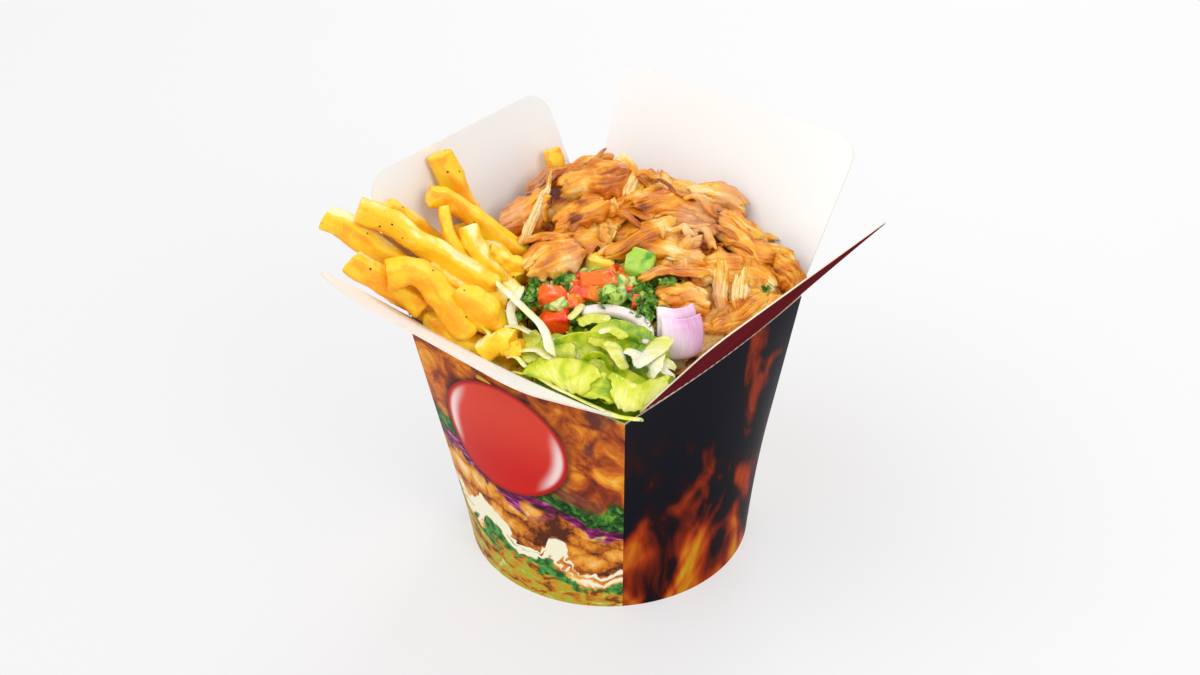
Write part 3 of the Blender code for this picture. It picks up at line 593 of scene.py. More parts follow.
def wobble(points, size, seed, waves=14):
    """A smooth uneven value at points, mostly within -1 to 1: the mean of sine waves that run in
    random directions with lengths round the given size, scaled by the root of their number.
    """
    draw = np.random.default_rng(seed)
    ways = draw.normal(size=(waves, 3))
    turns = (2 * np.pi / size) * draw.uniform(0.6, 1.5, (waves, 1))
    ways *= turns / np.linalg.norm(ways, axis=1, keepdims=True)
    starts = draw.uniform(0, 2 * np.pi, waves)
    return np.sin(points @ ways.T + starts).sum(axis=-1) * math.sqrt(2 / waves) * 0.6


def bed_points(centre, sides, top, lumps, seed):
    """A closed body round a centre: along each heading it reaches out to the nearest of the given
    straight sides and the carton's inner wall, which blends from a circle at the foot to a square at
    the rim. Rows climb the wall, then close in over the top, whose height is a function of plan.
    """
    heading = np.linspace(0, 2 * np.pi, BED_AROUND, endpoint=False)
    way = np.stack([np.cos(heading), np.sin(heading)], axis=-1)
    near = way @ centre
    reach = FOOT_RADIUS - BED_INSET
    circle = -near + np.sqrt(near**2 - centre @ centre + reach**2)
    half = RIM_HALF - BED_INSET
    square = np.min((half - np.sign(way) * centre) / np.maximum(np.abs(way), 1e-6), axis=1)
    limit = np.full(BED_AROUND, 1.0)
    for normal, offset in sides:
        facing = way @ normal
        side_reach = (offset - centre @ normal) / np.maximum(facing, 1e-6)
        limit = np.minimum(limit, np.where(facing > 1e-6, side_reach, 1.0))
    climb = np.linspace(FLOOR_TOP + 0.3 * MM, BED_SHOULDER, 8)[:, None]
    outward = np.minimum(circle + (square - circle) * climb / HINGE_Z, limit)
    shares = np.linspace(1, 0, 30)[:, None]
    over_top = outward[-1] * shares
    plan_side = centre + way * outward[..., None]
    plan_top = centre + way * over_top[..., None]
    height = top(plan_top[..., 0], plan_top[..., 1])
    flat_top = np.concatenate([plan_top, height[..., None]], axis=-1)
    flat_top[..., 2] += lumps * wobble(flat_top * (1, 1, 0), 9 * MM, seed) * np.minimum(1, 4 * (1 - shares))
    side = np.concatenate([plan_side, climb[..., None] + 0 * plan_side[..., :1]], axis=-1)
    foot = side[:1].copy()
    foot[..., :2] = centre
    return np.concatenate([foot, side, flat_top[1:]])


def meat_top(x, y):
    """Height of the meat's heap: high along the back wall, lower in the middle and at the right."""
    back = soft_step((y + 14 * MM) / (52 * MM))
    right_fall = soft_step((x - 12 * MM) / (40 * MM))
    return (100 + 22 * back - 12 * right_fall * (0.4 + 0.6 * back)) * MM


def inside_rim(x, y):
    """How far a plan point lies inside the rim."""
    return RIM_HALF - np.maximum(np.abs(x), np.abs(y))


# Fries: thick sticks cut from potato and fried, which lean out of the corner between the front and
# the left flap. Each is a bowed square stick with blunt uneven ends; none has quite the same tone.
FRIES = [  # points along the middle from tip to foot, and the width, in mm
    ([(-74.8, -60.3, 132), (-66.4, -55.6, 127), (-58.9, -51.7, 121), (-51.6, -46.7, 114),
      (-45.1, -42.5, 107)], 7.8),
    ([(-64.6, -54.5, 136), (-56.6, -46.4, 130), (-48.3, -44, 125), (-41, -38.9, 119),
      (-33.3, -34.2, 113), (-25, -29.9, 107)], 7.8),
    ([(-61.5, -44.4, 134.4), (-56.3, -36.8, 125.1), (-51.4, -29.8, 115.2)], 6.4),
    ([(-58.4, -65.5, 123), (-52.4, -61.4, 118), (-45.3, -56.4, 112), (-38.4, -51.1, 105)], 7.8),
    ([(-46.8, -60.3, 119), (-40.5, -55.3, 121), (-35.4, -51.9, 118), (-30.3, -50.5, 112),
      (-25.1, -49.1, 106), (-20.3, -48.8, 101)], 8.8),
    ([(-28.3, -46.8, 112.5), (-19.6, -43.9, 109), (-13.5, -41.5, 102)], 9.6),
    ([(-63.5, -15.3, 142), (-59.8, -14.7, 133.6), (-56.3, -12.2, 124.2), (-52.9, -8.6, 114.7),
      (-46.5, -5.4, 105.6)], 7.6),
    ([(-56.1, -28.8, 133), (-52.4, -22.8, 130), (-45.8, -17.6, 123), (-39.1, -12.6, 115),
      (-31.7, -7.9, 108)], 6.8),
    ([(-50.1, -27.8, 130), (-44.9, -31.8, 125), (-39.8, -32.8, 118), (-33.8, -30.4, 111),
      (-29.7, -26.7, 106)], 4.4),
    ([(-40.1, -27.2, 126), (-35.5, -27.9, 120), (-30.9, -27.3, 114), (-27.3, -24, 107)], 6.0),
    ([(-34, -23.9, 116), (-28.6, -19.8, 112), (-24.4, -15.9, 109)], 5.8),
    ([(-60, -56, 113), (-34, -46, 99)], 7.6),
    ([(-44, -15, 114), (-24, -19, 106)], 7.0),
    ([(-38, -38, 108), (-15, -38, 99)], 8.6),
    ([(-47, -30, 112), (-17, -31, 103)], 7.4),
    ([(-44, -44, 116), (-24, -36, 102)], 7.4),
    ([(-53, -18, 116), (-32, -24, 104)], 7.4),
    ([(-52, -3, 108), (-36, -12, 98)], 7.4),
    ([(-11, -40, 98), (-10, -46, 84)], 12.5),
    ([(-34, -44, 105), (-8, -37, 98)], 7.6),
    ([(-38, -50.5, 101), (-14, -48, 95)], 7.6),
    ([(-45, -35, 110), (-20, -32, 101)], 7.6),
    ([(-36, -21, 109), (-13, -27, 101)], 7.2),
    ([(-50, -37, 111), (-27, -27, 103)], 7.4),
    ([(-50, -47, 106), (-26, -43, 99)], 7.6),
    ([(-11.5, -51, 98), (-6.5, -48, 102.5), (-1.5, -46.5, 103)], 7.6),
    ([(0.5, -49, 103), (-4.5, -43, 98)], 6.2),
]
STANDING_FRY = [([(-55.2, 35.0, 126), (-50.4, 32.0, 114), (-43, 24, 86)], 6.0)]
FRY_ROWS = 54
FRY_AROUND = 36
FRY_SQUARE = 5.0


def through(points, shares):
    """A smooth curve through points in mm, at shares of its way: between two of them runs the cubic
    whose slope at each is half the step from the point before it to the point after it.
    """
    given = np.asarray(points, float) * MM
    given = np.concatenate([2 * given[:1] - given[1:2], given, 2 * given[-1:] - given[-2:-1]])
    place = shares * (len(points) - 1)
    k = np.minimum(place.astype(int), len(points) - 2)
    f = (place - k)[:, None]
    a, b, c, d = given[k], given[k + 1], given[k + 2], given[k + 3]
    return 0.5 * (2 * b + (c - a) * f + (2 * a - 5 * b + 4 * c - d) * f**2 + (3 * b - a - 3 * c + d) * f**3)


def unit(vectors):
    """Vectors brought to length 1."""
    return vectors / np.maximum(np.linalg.norm(vectors, axis=-1, keepdims=True), 1e-12)


def fry_points(shapes, seed):
    """Sticks, one grid each: a smooth curve with a rounded-square ring round it,
    |cos|^n + |sin|^n = 1, drawn in over its ends, and uneven by coarse and fine waves.
    """
    step = np.linspace(0, 1, FRY_ROWS - 6)
    shares = np.concatenate([[0, 0, 0, 0.004], step[1:-1] * 0.984 + 0.008, [0.996, 1, 1, 1]])
    drawn = np.ones(len(shares))
    drawn[:4] = (0, 0.72, 0.88, 0.96)
    drawn[-4:] = (0.96, 0.88, 0.72, 0)
    drawn = drawn[None, :, None]
    middle = np.stack([through(route, shares) for route, _ in shapes])[:, :, None]
    width = np.array([wide for _, wide in shapes])[:, None, None] * MM
    share = shares[None, :, None]
    turn = np.linspace(0, 2 * np.pi, FRY_AROUND, endpoint=False)[None, None, :]
    run = np.stack([np.gradient(through(route, step), axis=0) for route, _ in shapes])
    run = unit(run[:, np.round(shares * (len(step) - 1)).astype(int)])[:, :, None]
    aside = unit(np.cross(run, np.array([0.0, 0.0, 1.0])))
    above = np.cross(run, aside)
    square = np.abs(np.cos(turn)) ** FRY_SQUARE + np.abs(np.sin(turn)) ** FRY_SQUARE
    number = np.arange(len(shapes))[:, None, None]
    uneven = 0.09 * np.sin(7 * share + number * 2.1) + 0.05 * np.sin(17 * share + 3 * np.sin(turn) + number)
    ring = 0.5 * width * square ** (-1 / FRY_SQUARE) * (1 + uneven) * drawn
    points = middle + aside * (ring * np.cos(turn))[..., None] + above * (ring * np.sin(turn))[..., None]
    rough = 0.26 * wobble(points, 9 * MM, seed) + 0.08 * wobble(points, 2.6 * MM, seed + 1)
    points = points + unit(points - middle) * (rough * MM * (drawn > 0))[..., None]
    slant = wobble(middle[:, :1] + 0 * points, 20 * MM, seed + 2) * 0.16 * width * np.cos(turn + number)
    points = points + run * (slant * drawn * (2 * share - 1) ** 8)[..., None]
    flat = np.stack(np.broadcast_arrays(share + number, turn / (2 * np.pi)), axis=-1)
    return points, flat


def speckle(tree, colour, scale, share, reach, dark):
    """Scattered small dots over a colour, in cells of which a given share holds one."""
    place = solid_place(tree)
    cells = add(tree, "TexVoronoi", {"Vector": place, "Scale": scale, "Randomness": 1.0}, feature="F1")
    lot = add(tree, "SeparateColor", {"Color": cells.outputs["Color"]}).outputs[0]
    dot = between(tree, cells.outputs["Distance"], reach * 0.6, reach, 1.0, 0.0)
    chosen = add(tree, "Math", {0: lot, 1: 1 - share}, operation="GREATER_THAN").outputs[0]
    mask = times(tree, dot, chosen)
    return over(tree, mask, colour, dark)


def fried(name, pale, golden, deep):
    """Fried potato: golden with pale creamy patches and deeper edges, a dry rough skin and pepper;
    faces that look up are painted paler, as painted top light.
    """
    material, tree, shader = finish(
        name, golden, 0.42,
        Subsurface_Weight=0.25, Subsurface_Scale=0.004, Subsurface_Radius=(1.0, 0.5, 0.12),
    )
    place = solid_place(tree)
    patches = clouds(tree, place, 95, 3, 0.55, 0.6)
    tone = piece_tone(tree)
    # Faces that look up are made paler here: painted top light.
    facing = add(tree, "SeparateXYZ", {"Vector": add(tree, "TexCoord").outputs["Normal"]}).outputs["Z"]
    tone = plus(tree, tone, between(tree, facing, -0.1, 0.95, -0.07, 0.15))
    skin = ramp(tree, plus(tree, patches, tone), [(0.30, deep), (0.48, golden), (0.61, golden), (0.79, pale)])
    grain = clouds(tree, place, 700, 4, 0.6)
    skin = over(tree, between(tree, grain, 0.56, 0.80, 0.0, 0.40), skin, pale)
    skin = speckle(tree, skin, 300, 0.16, 0.16, (0.05, 0.022, 0.005))
    colour_with(tree, shader, skin, between(tree, patches, 0.35, 0.7, 0.52, 0.34))
    tree.links.new(raised_by(tree, grain, 0.5, 0.0005), shader.inputs["Normal"])
    return material


def fries_bed_top(x, y):
    """Height of the bed under the fries, which falls to the rim near the walls."""
    rise = soft_step(np.minimum(inside_rim(x, y), (FRIES_SUM - x - y) / 2) / (16 * MM))
    return (88 + 9 * rise) * MM


potato = fried("fried_potato", (1.0, 0.87, 0.42), (1.0, 0.63, 0.014), (0.98, 0.42, 0.004))
fries_at = np.array([-36.0, -36.0]) * MM
diagonal = np.array([1.0, 1.0]) / math.sqrt(2)
fries_sides = [(diagonal, (FRIES_SUM - BED_GAP) / math.sqrt(2))]
# The bed's tone, below the sticks', is painted shade in the gaps between the fries.
fries_bed = grid_mesh(
    "fries_bed", bed_points(fries_at, fries_sides, fries_bed_top, 2.2 * MM, 3),
        [potato], ring=True, tint=-0.12,
)
points, flat = fry_points(FRIES, 21)
draw = np.random.default_rng(5)
turn = np.linspace(0, 2 * np.pi, FRY_AROUND, endpoint=False)
edge_tone = -0.21 * np.abs(np.sin(2 * turn)) ** 8
stick_tone = draw.uniform(-0.12, 0.12, (len(FRIES), 1, 1)) + edge_tone
fries = grid_mesh("fries_heap", points, [potato], ring=True, uv=flat, tint=stick_tone)
points, flat = fry_points(STANDING_FRY, 8)
standing = grid_mesh("fry_at_the_back", points, [potato], ring=True, uv=flat, tint=edge_tone - 0.12)
for piece, node in ((fries_bed, "fries"), (fries, "fries"), (standing, "standing_fry")):
    belongs(piece, node)

# Shaved meat: thin slices cut from a roast, seared along their edges and pale where they were cut,
# curled, torn and piled over each other along the back wall, on a lumpy bed of the same meat.
SLICE_GRID = (56, 24)
SCRAP_GRID = (40, 16)
STRAND_GRID = (28, 9)
SLICE_LIFT = 1.4 * MM
SLICE_THINNING = 0.62
MEAT_PIECES = [  # two edges in mm, how far the middle bulges, thickness, tone
    ([(-39.8, 19.5, 122), (-37.7, 27.8, 125), (-32.6, 36, 127), (-26.6, 43.2, 126)],
     [(-33.7, 17.9, 117), (-26.5, 23, 117), (-20.5, 28.3, 118), (-18.6, 35.2, 119)], 3.5, 2.6, 0.02),
    ([(-22.8, 5.4, 118), (-22, 17.8, 121), (-16.8, 23.9, 121), (-9.5, 20.8, 120)],
     [(-20.2, -0.1, 112), (-12.8, 3.9, 110), (-8.4, 9.7, 111), (-8.2, 16.8, 114)], -2.5, 2.6, 0.10),
    ([(-10.9, 28.1, 120), (-7.9, 37.7, 122), (3.1, 44.3, 120), (15.4, 47.4, 118)],
     [(-4.3, 24.6, 115), (1.3, 31.9, 115), (10, 35.5, 114), (18, 40, 113)], 3.0, 2.4, -0.02),
    ([(-8, 5.4, 109), (-3.7, 18.1, 114), (1.9, 31.3, 116), (17.3, 36.9, 115)],
     [(-1.9, 7.5, 107), (4.4, 16.7, 110), (12, 24.3, 111), (23.4, 30.1, 108)], 3.5, 2.4, 0.03),
    ([(14.2, 46.5, 118), (21.4, 50.2, 117), (31.3, 50.4, 113)],
     [(19.1, 40.4, 114), (25.9, 41.7, 111), (32.4, 43.4, 108)], 1.5, 1.8, 0.24),
    ([(-1, 48.8, 121), (3.3, 54.1, 122), (11, 58.4, 120), (17.3, 60.7, 117)],
     [(3.8, 45.9, 117), (9.7, 48.1, 116), (15.2, 51.3, 115), (19.8, 54, 113)], 3.0, 3.2, 0.12),
    ([(19.7, 4.4, 107), (24.9, 10.7, 108.5), (33.7, 13.5, 108)],
     [(26.6, -2.5, 100), (34.4, 1.5, 100), (40.2, 8.2, 101)], 3.0, 6.0, 0.04),
    ([(31.8, 33.4, 111), (37, 38.4, 109), (46.2, 40.4, 105)],
     [(38.1, 26.9, 104), (43.1, 28.6, 101), (48.6, 31, 98)], 2.5, 2.6, 0.20),
    ([(41.4, 46.8, 110), (47.1, 48.9, 107), (53.1, 47.3, 103)],
     [(42.5, 39.2, 105), (48.4, 39.3, 101), (51.3, 40, 98)], 3.0, 3.0, 0.02),
    ([(-26.6, -17, 111), (-23.1, -5.8, 115), (-16.6, 4.9, 115)],
     [(-18.2, -18.5, 106), (-12, -12.1, 108), (-7.4, -3, 109)], 2.5, 2.8, 0.10),
    ([(-47.2, -3.6, 115), (-45.8, 5.6, 120), (-38.5, 14, 123)],
     [(-40.6, -8.7, 110), (-35.4, -0.4, 112), (-31.9, 7.2, 116)], 3.0, 2.2, -0.06),
    ([(20, 20, 109.5), (24, 29, 112), (32, 37, 112)],
     [(27, 13, 105), (33, 20, 106), (40, 27, 105)], 2.5, 2.6, 0.06),
    ([(-30, 6, 117), (-28, 16, 120), (-22, 27, 121)],
     [(-25, 1, 112), (-20, 9, 114), (-14, 18, 116)], 3.0, 2.4, -0.04),
    ([(30, 44, 113), (38, 48, 112), (46, 52, 109)],
     [(32, 36, 109), (39, 39, 107), (47, 44, 104)], 2.0, 2.4, 0.08),
]
MEAT_STRIPS = [  # middle line in mm, width, roll in degrees, curl across in radians, thickness, tone
    ([(-27.9, 43.2, 127), (-21, 40.5, 125), (-15.9, 32, 119)], 8.0, 30, 2.6, 2.0, 0.26),
    ([(-24.4, 47, 120), (-13.2, 50.3, 120.5), (-0.6, 53.2, 119),
      (7.7, 55.1, 116)], 13.0, 10, 3.0, 2.2, 0.03),
    ([(-43, 20.8, 124), (-36, 9, 121), (-33, -1, 117), (-31.6, -9.6, 111)], 4.0, 60, 1.2, 1.4, 0.24),
    ([(31.6, 26, 112), (37.7, 18.2, 106), (43.4, 12, 97)], 7.0, 20, 1.8, 2.2, 0.10),
    ([(35.7, 31.5, 109), (41.7, 23.4, 104), (46.9, 17.4, 97)], 7.0, 0, 1.6, 2.0, 0.26),
    ([(-34, -6, 112), (-27, -2, 114), (-19, 4, 114)], 8.0, 20, 2.0, 2.0, 0.05),
    ([(-46, 12, 119), (-44, 25, 122), (-38, 34, 123)], 9.0, -30, 2.2, 2.2, -0.06),
    ([(26, -8, 101), (34, -2, 103), (44, 3, 101)], 8.0, 30, 1.4, 2.4, 0.08),
    ([(12, 4, 109), (19, 12, 112), (30, 20, 110)], 8.0, 25, 2.2, 2.2, 0.02),
    ([(44, 6, 100), (47, 18, 101), (48, 30, 103)], 8.0, -20, 1.8, 2.4, 0.0),
]
MEAT_SCRAPS = 54
MEAT_STRANDS = 30
MEAT_AT_RIM = 64
SHEET_ARCH = (0.0, 5 * MM)
SHEET_TWIST = (-0.9, 0.9)


def between_edges(first, second, bulge, rows, columns):
    """An open grid from one smooth edge straight across to another, with its middle pushed out along
    the grid's normal by a parabola of the given height.
    """
    shares = np.linspace(0, 1, rows)
    a, b = through(first, shares)[:, None], through(second, shares)[:, None]
    t = np.linspace(0, 1, columns)[None, :, None]
    flat_sheet = a * (1 - t) + b * t
    normal = unit(np.cross(np.gradient(flat_sheet, axis=0), np.gradient(flat_sheet, axis=1)))
    normal = normal * np.sign(normal[..., 2:] + 1e-9)
    return flat_sheet + normal * bulge * MM * 4 * t * (1 - t)


def strip(path, width, roll, curl, rows, columns):
    """An open grid along a smooth middle line: its width lies across the line, level at roll 0, and is
    bent into an arc of the given angle that turns its edges down.
    """
    middle = through(path, np.linspace(0, 1, rows))
    run = unit(np.gradient(middle, axis=0))
    level_side = unit(np.cross(run, np.array([0.0, 0.0, 1.0])))
    above = np.cross(level_side, run)
    angle = math.radians(roll)
    side = level_side * math.cos(angle) + above * math.sin(angle)
    above = above * math.cos(angle) - level_side * math.sin(angle)
    t = np.linspace(-0.5, 0.5, columns)[None, :, None]
    radius = width * MM / max(curl, 0.05)
    return (middle[:, None] + side[:, None] * radius * np.sin(curl * t)
            + above[:, None] * radius * (np.cos(curl * t) - 1))


def tear(points, amount, crumple, seed, ridges=0.0):
    """Grids with torn outlines and crumpled faces: the outer part of each row is stretched or drawn in
    by uneven waves of the row, the ends by waves of the column, and all of it is shifted by waves.
    Ridges, in mm, run lengthwise: waves of the column, which drift slowly with the row.
    """
    pieces, rows, columns = points.shape[:3]
    number = np.arange(pieces)[:, None, None]
    s = np.linspace(-1, 1, rows)[None, :, None]
    t = np.linspace(-1, 1, columns)[None, None, :]
    side = np.where(t < 0, 1.3, 3.1)
    wave = 0.7 * np.sin(4.6 * s * side + 4 * number) + 0.4 * np.sin(11 * s + side * 3 * number)
    shifted = points + number[..., None] * 0.037
    wave = wave + 0.30 * wobble(shifted, 3.4 * MM, seed + 20)
    across = points[:, :, -1:] - points[:, :, :1]
    lengthwise = points[:, -1:] - points[:, :1]
    points = points + across * (0.5 * t * np.abs(t) ** 2 * amount * wave)[..., None]
    points = points - across * (0.5 * t * (1 - np.sqrt(np.clip(1 - np.abs(s) ** 12, 0.3, 1))))[..., None]
    end_wave = np.sin(3 * t + 2 * number + s) + 0.5 * np.sin(9 * t + number)
    points = points + lengthwise * (0.3 * amount * s * np.abs(s) ** 5 * end_wave)[..., None]
    for axis in range(3):
        coarse = wobble(shifted, 14 * MM, seed + axis)
        fine_waves = wobble(shifted, 4.6 * MM, seed + 7 + axis)
        points[..., axis] += MM * crumple * (coarse + 0.24 * fine_waves)
    if ridges:
        normal = unit(np.cross(np.gradient(points, axis=1), np.gradient(points, axis=2)))
        drift = np.broadcast_arrays(t + 0.12 * np.sin(5 * s + number), 0.25 * s, 0.7 * number)
        ridge = wobble(np.stack(drift, axis=-1), 0.42, seed + 30)
        points = points + normal * (ridges * MM * ridge)[..., None]
    return points


def sheet_ring(points, thickness):
    """Closed thin bodies from open grids: each point goes half the thickness up and down along the
    grid's own normal, and the two faces are joined round, with the first and last rows pinched shut.
    """
    normal = unit(np.cross(np.gradient(points, axis=1), np.gradient(points, axis=2)))
    pieces, rows, columns = points.shape[:3]
    s = np.linspace(-1, 1, rows)[None, :, None]
    t = np.linspace(-1, 1, columns)[None, None, :]
    taper = np.clip(1 - np.abs(t) ** 3.5, 0.16, 1) * np.sqrt(np.clip(1 - np.abs(s) ** 24, 0.0, 1))
    half = normal * (0.5 * MM * np.asarray(thickness, float).reshape(-1, 1, 1) * taper)[..., None]
    half[:, 0] = half[:, -1] = 0
    return np.concatenate([points + half, (points - half)[:, :, ::-1]], axis=2)


def sheet_flat(pieces, rows, columns):
    """The flat place of each point of thin bodies: along the piece, with the piece's number added, and
    across it, the same on both faces.
    """
    s = np.linspace(0, 1, rows)[None, :, None]
    t = np.linspace(0, 1, columns)[None, None, :]
    flat = np.stack(np.broadcast_arrays(s + 3 * np.arange(pieces)[:, None, None], t), axis=-1)
    return np.concatenate([flat, flat[:, :, ::-1]], axis=2)


def turn_and_place(points, heading, lean, roll, at):
    """Grids turned by roll about X, lean about Y and heading about Z, in degrees, then moved."""
    whole = np.eye(3)[None]
    for degrees, (a, b) in ((roll, (1, 2)), (lean, (2, 0)), (heading, (0, 1))):
        angle = np.radians(np.asarray(degrees, float))
        turn = np.zeros((len(angle), 3, 3)) + np.eye(3)
        turn[:, a, a] = turn[:, b, b] = np.cos(angle)
        turn[:, a, b], turn[:, b, a] = -np.sin(angle), np.sin(angle)
        whole = turn @ whole
    return np.einsum("kab,kijb->kija", whole, points) + np.asarray(at)[:, None, None]


def keep_inside(points, margin=0.9 * MM):
    """Points held on the food's side of the four walls and of the flaps above them:
    a wall's limit grows with height over the crease by the tangent of its flap's tilt.
    """
    rise = np.clip(points[..., 2] - HINGE_Z, 0, None)
    limit = RIM_HALF - margin
    front_side, right_side, back_side, left_side = (
        limit + rise * math.tan(math.radians(shape["tilt"][0])) for shape in FLAPS.values()
    )
    x = np.clip(points[..., 0], -left_side, right_side)
    y = np.clip(points[..., 1], -front_side, back_side)
    return np.stack([x, y, points[..., 2]], axis=-1)


meat_finish, tree, shader = finish(
    "shaved_meat", (0.72, 0.26, 0.02), 0.3,
    Subsurface_Weight=0.25, Subsurface_Scale=0.003, Subsurface_Radius=(1.0, 0.40, 0.12),
)
place = solid_place(tree)
_, v = sheet_across_up(tree)
fibres = clouds(tree, flat_place(tree, 1.4, 11), 1.0, 5, 0.6, 0.4)
patches = between(tree, clouds(tree, place, 72, 3, 0.5, 0.8), 0.32, 0.68)
crisp = clouds(tree, place, 300, 5, 0.62)
tone = piece_tone(tree)
edge = size_of(tree, minus(tree, v, 0.5))
mixed = plus(tree, times(tree, patches, 0.52), times(tree, between(tree, fibres, 0.3, 0.7), 0.34))
mixed = plus(tree, mixed, times(tree, tone, 1.5))
flesh = ramp(tree, mixed, [
    (0.0, (0.16, 0.026, 0.001)), (0.20, (0.50, 0.115, 0.002)), (0.42, (0.78, 0.265, 0.005)),
    (0.66, (0.92, 0.45, 0.036)), (0.90, (0.97, 0.72, 0.34)),
])
moved_place = add(tree, "Mapping", {"Vector": place, "Location": (0.3, 0.1, 0.2)}).outputs[0]
cut_face = between(tree, clouds(tree, moved_place, 46, 2), 0.54, 0.66, 0.0, 0.55)
flesh = over(tree, cut_face, flesh, (0.72, 0.40, 0.21))
seared = times(tree, between(tree, edge, 0.26, 0.46), between(tree, patches, 0.2, 0.8, 0.9, 0.1))
flesh = over(tree, seared, flesh, (0.66, 0.17, 0.003))
flesh = over(tree, between(tree, crisp, 0.58, 0.72, 0.0, 0.6), flesh, (0.34, 0.075, 0.005))
colour_with(tree, shader, flesh, between(tree, crisp, 0.35, 0.65, 0.16, 0.42))
grain = plus(tree, times(tree, fibres, 0.55), times(tree, crisp, 0.45))
tree.links.new(raised_by(tree, grain, 0.8, 0.0009), shader.inputs["Normal"])


def meat_bed_top(x, y):
    """Height of the bed under the slices, which falls to the rim near the walls."""
    share = soft_step(inside_rim(x, y) / (9 * MM))
    return (meat_top(x, y) - 7 * MM) * share + 91 * MM * (1 - share)


meat_at = np.array([8.0, 20.0]) * MM
beside_fries = (-diagonal, -(FRIES_SUM + BED_GAP) / math.sqrt(2))
meat_sides = [beside_fries, (np.array([0.0, -1.0]), -LETTUCE_Y - BED_GAP)]
# The bed's dark tone is painted shade in the gaps between the slices.
meat_bed = grid_mesh(
    "meat_bed", bed_points(meat_at, meat_sides, meat_bed_top, 2.0 * MM, 5), [meat_finish],
    ring=True, tint=-0.34,
)


def over_heap(count, draw):
    """Random plan points over the heap, clear of the diced vegetables and the fries."""
    x = draw.uniform(-46, 47, 6 * count) * MM
    y = draw.uniform(-12, 43, 6 * count) * MM
    in_dice = (np.hypot((x - 2 * MM) / (29 * MM), (y + 4 * MM) / (19 * MM)) < 1) & (y < 9 * MM)
    keep = (x + y > FRIES_SUM + 5 * MM) & ~in_dice
    return x[keep][:count], y[keep][:count]


def round_rim(count, draw):
    """Random plan points just inside the left, back and right walls, evenly along the three of them."""
    inner = RIM_HALF - draw.uniform(1.5, 7.5, count) * MM
    along_walls = np.linspace(0, 3, count, endpoint=False)
    side = along_walls.astype(int)
    aside = (2 * (along_walls - side) - 1) * 46 * MM
    x = np.select([side == 0, side == 1], [-inner, aside], inner)
    y = np.where(side == 1, inner, 18 * MM + 0.62 * aside)
    return x, y


def lie_on_meat(grid, places, top, lengths, widths, curls, sink, draw):
    """Bent sheets that lie at plan points on a heap whose height is a function of plan: each is a strip
    bent into an arc across, arched along its length and twisted evenly, turned to the heap's slope
    and sunk into it by a random depth in mm.
    """
    x, y = places
    count = len(x)
    slope_x = (top(x + 2 * MM, y) - top(x - 2 * MM, y)) / (4 * MM)
    slope_y = (top(x, y + 2 * MM) - top(x, y - 2 * MM)) / (4 * MM)
    heading = draw.uniform(-50, 90, count)
    way_x, way_y = np.cos(np.radians(heading)), np.sin(np.radians(heading))
    lean = -np.degrees(np.arctan(slope_x * way_x + slope_y * way_y))
    roll = np.degrees(np.arctan(slope_y * way_x - slope_x * way_y))
    s = np.linspace(-0.5, 0.5, grid[0])[None, :, None]
    t = np.linspace(-0.5, 0.5, grid[1])[None, None, :]
    ranges = (lengths, widths, curls, SHEET_ARCH, SHEET_TWIST)
    length, width, curl, arch, twist = (draw.uniform(*limits, count)[:, None, None] for limits in ranges)
    radius = width / curl
    y_slice = radius * np.sin(curl * t) + 0 * s
    z_slice = radius * (np.cos(curl * t) - 1) + arch * (1 - 4 * s * s)
    angle = twist * s
    sheets = np.stack([
        length * s + 0 * y_slice,
        y_slice * np.cos(angle) - z_slice * np.sin(angle), y_slice * np.sin(angle) + z_slice * np.cos(angle),
    ], axis=-1)
    sunk = (draw.uniform(*sink, count) - 3.0 * (x > 16 * MM)) * MM
    lean = lean + draw.uniform(-22, 22, count)
    roll = roll + draw.uniform(-28, 28, count)
    return turn_and_place(sheets, heading, lean, roll, np.stack([x, y, top(x, y) + sunk], axis=-1))


slices = [between_edges(a, b, bulge, *SLICE_GRID) for a, b, bulge, _, _ in MEAT_PIECES]
slices += [strip(path, wide, roll, bend, *SLICE_GRID) for path, wide, roll, bend, _, _ in MEAT_STRIPS]
slices = tear(np.stack(slices) + (0, 0, SLICE_LIFT), 0.16, 0.6, 31, 0.34)
slices_thick = [SLICE_THINNING * piece[-2] for piece in MEAT_PIECES + MEAT_STRIPS]
slices_tone = np.array([piece[-1] for piece in MEAT_PIECES + MEAT_STRIPS])
draw = np.random.default_rng(17)
scraps_at = over_heap(MEAT_SCRAPS, draw)
scraps = lie_on_meat(
    SCRAP_GRID, scraps_at, meat_top, (20 * MM, 36 * MM), (9 * MM, 17 * MM), (0.5, 2.6), (-7.5, -3.5), draw,
)
draw = np.random.default_rng(19)
strands_at = over_heap(MEAT_STRANDS, draw)
strands = lie_on_meat(
    STRAND_GRID, strands_at, meat_top, (8 * MM, 17 * MM), (1.6 * MM, 3.6 * MM), (0.4, 2.2), (-3.0, 0.4), draw,
)
draw = np.random.default_rng(53)
rim_at = round_rim(MEAT_AT_RIM, draw)
at_rim = lie_on_meat(
    SCRAP_GRID, rim_at, meat_bed_top, (12 * MM, 24 * MM), (7 * MM, 13 * MM), (0.4, 2.0), (0.0, 2.0), draw,
)
scraps = tear(scraps, 0.24, 0.7, 37, 0.26)
strands = tear(strands, 0.3, 0.4, 41)
at_rim = tear(at_rim, 0.24, 0.7, 61, 0.26)
draw = np.random.default_rng(47)
scraps_tone = draw.uniform(-0.16, 0.12, MEAT_SCRAPS) + 0.15 * (scraps_at[0] > 16 * MM)
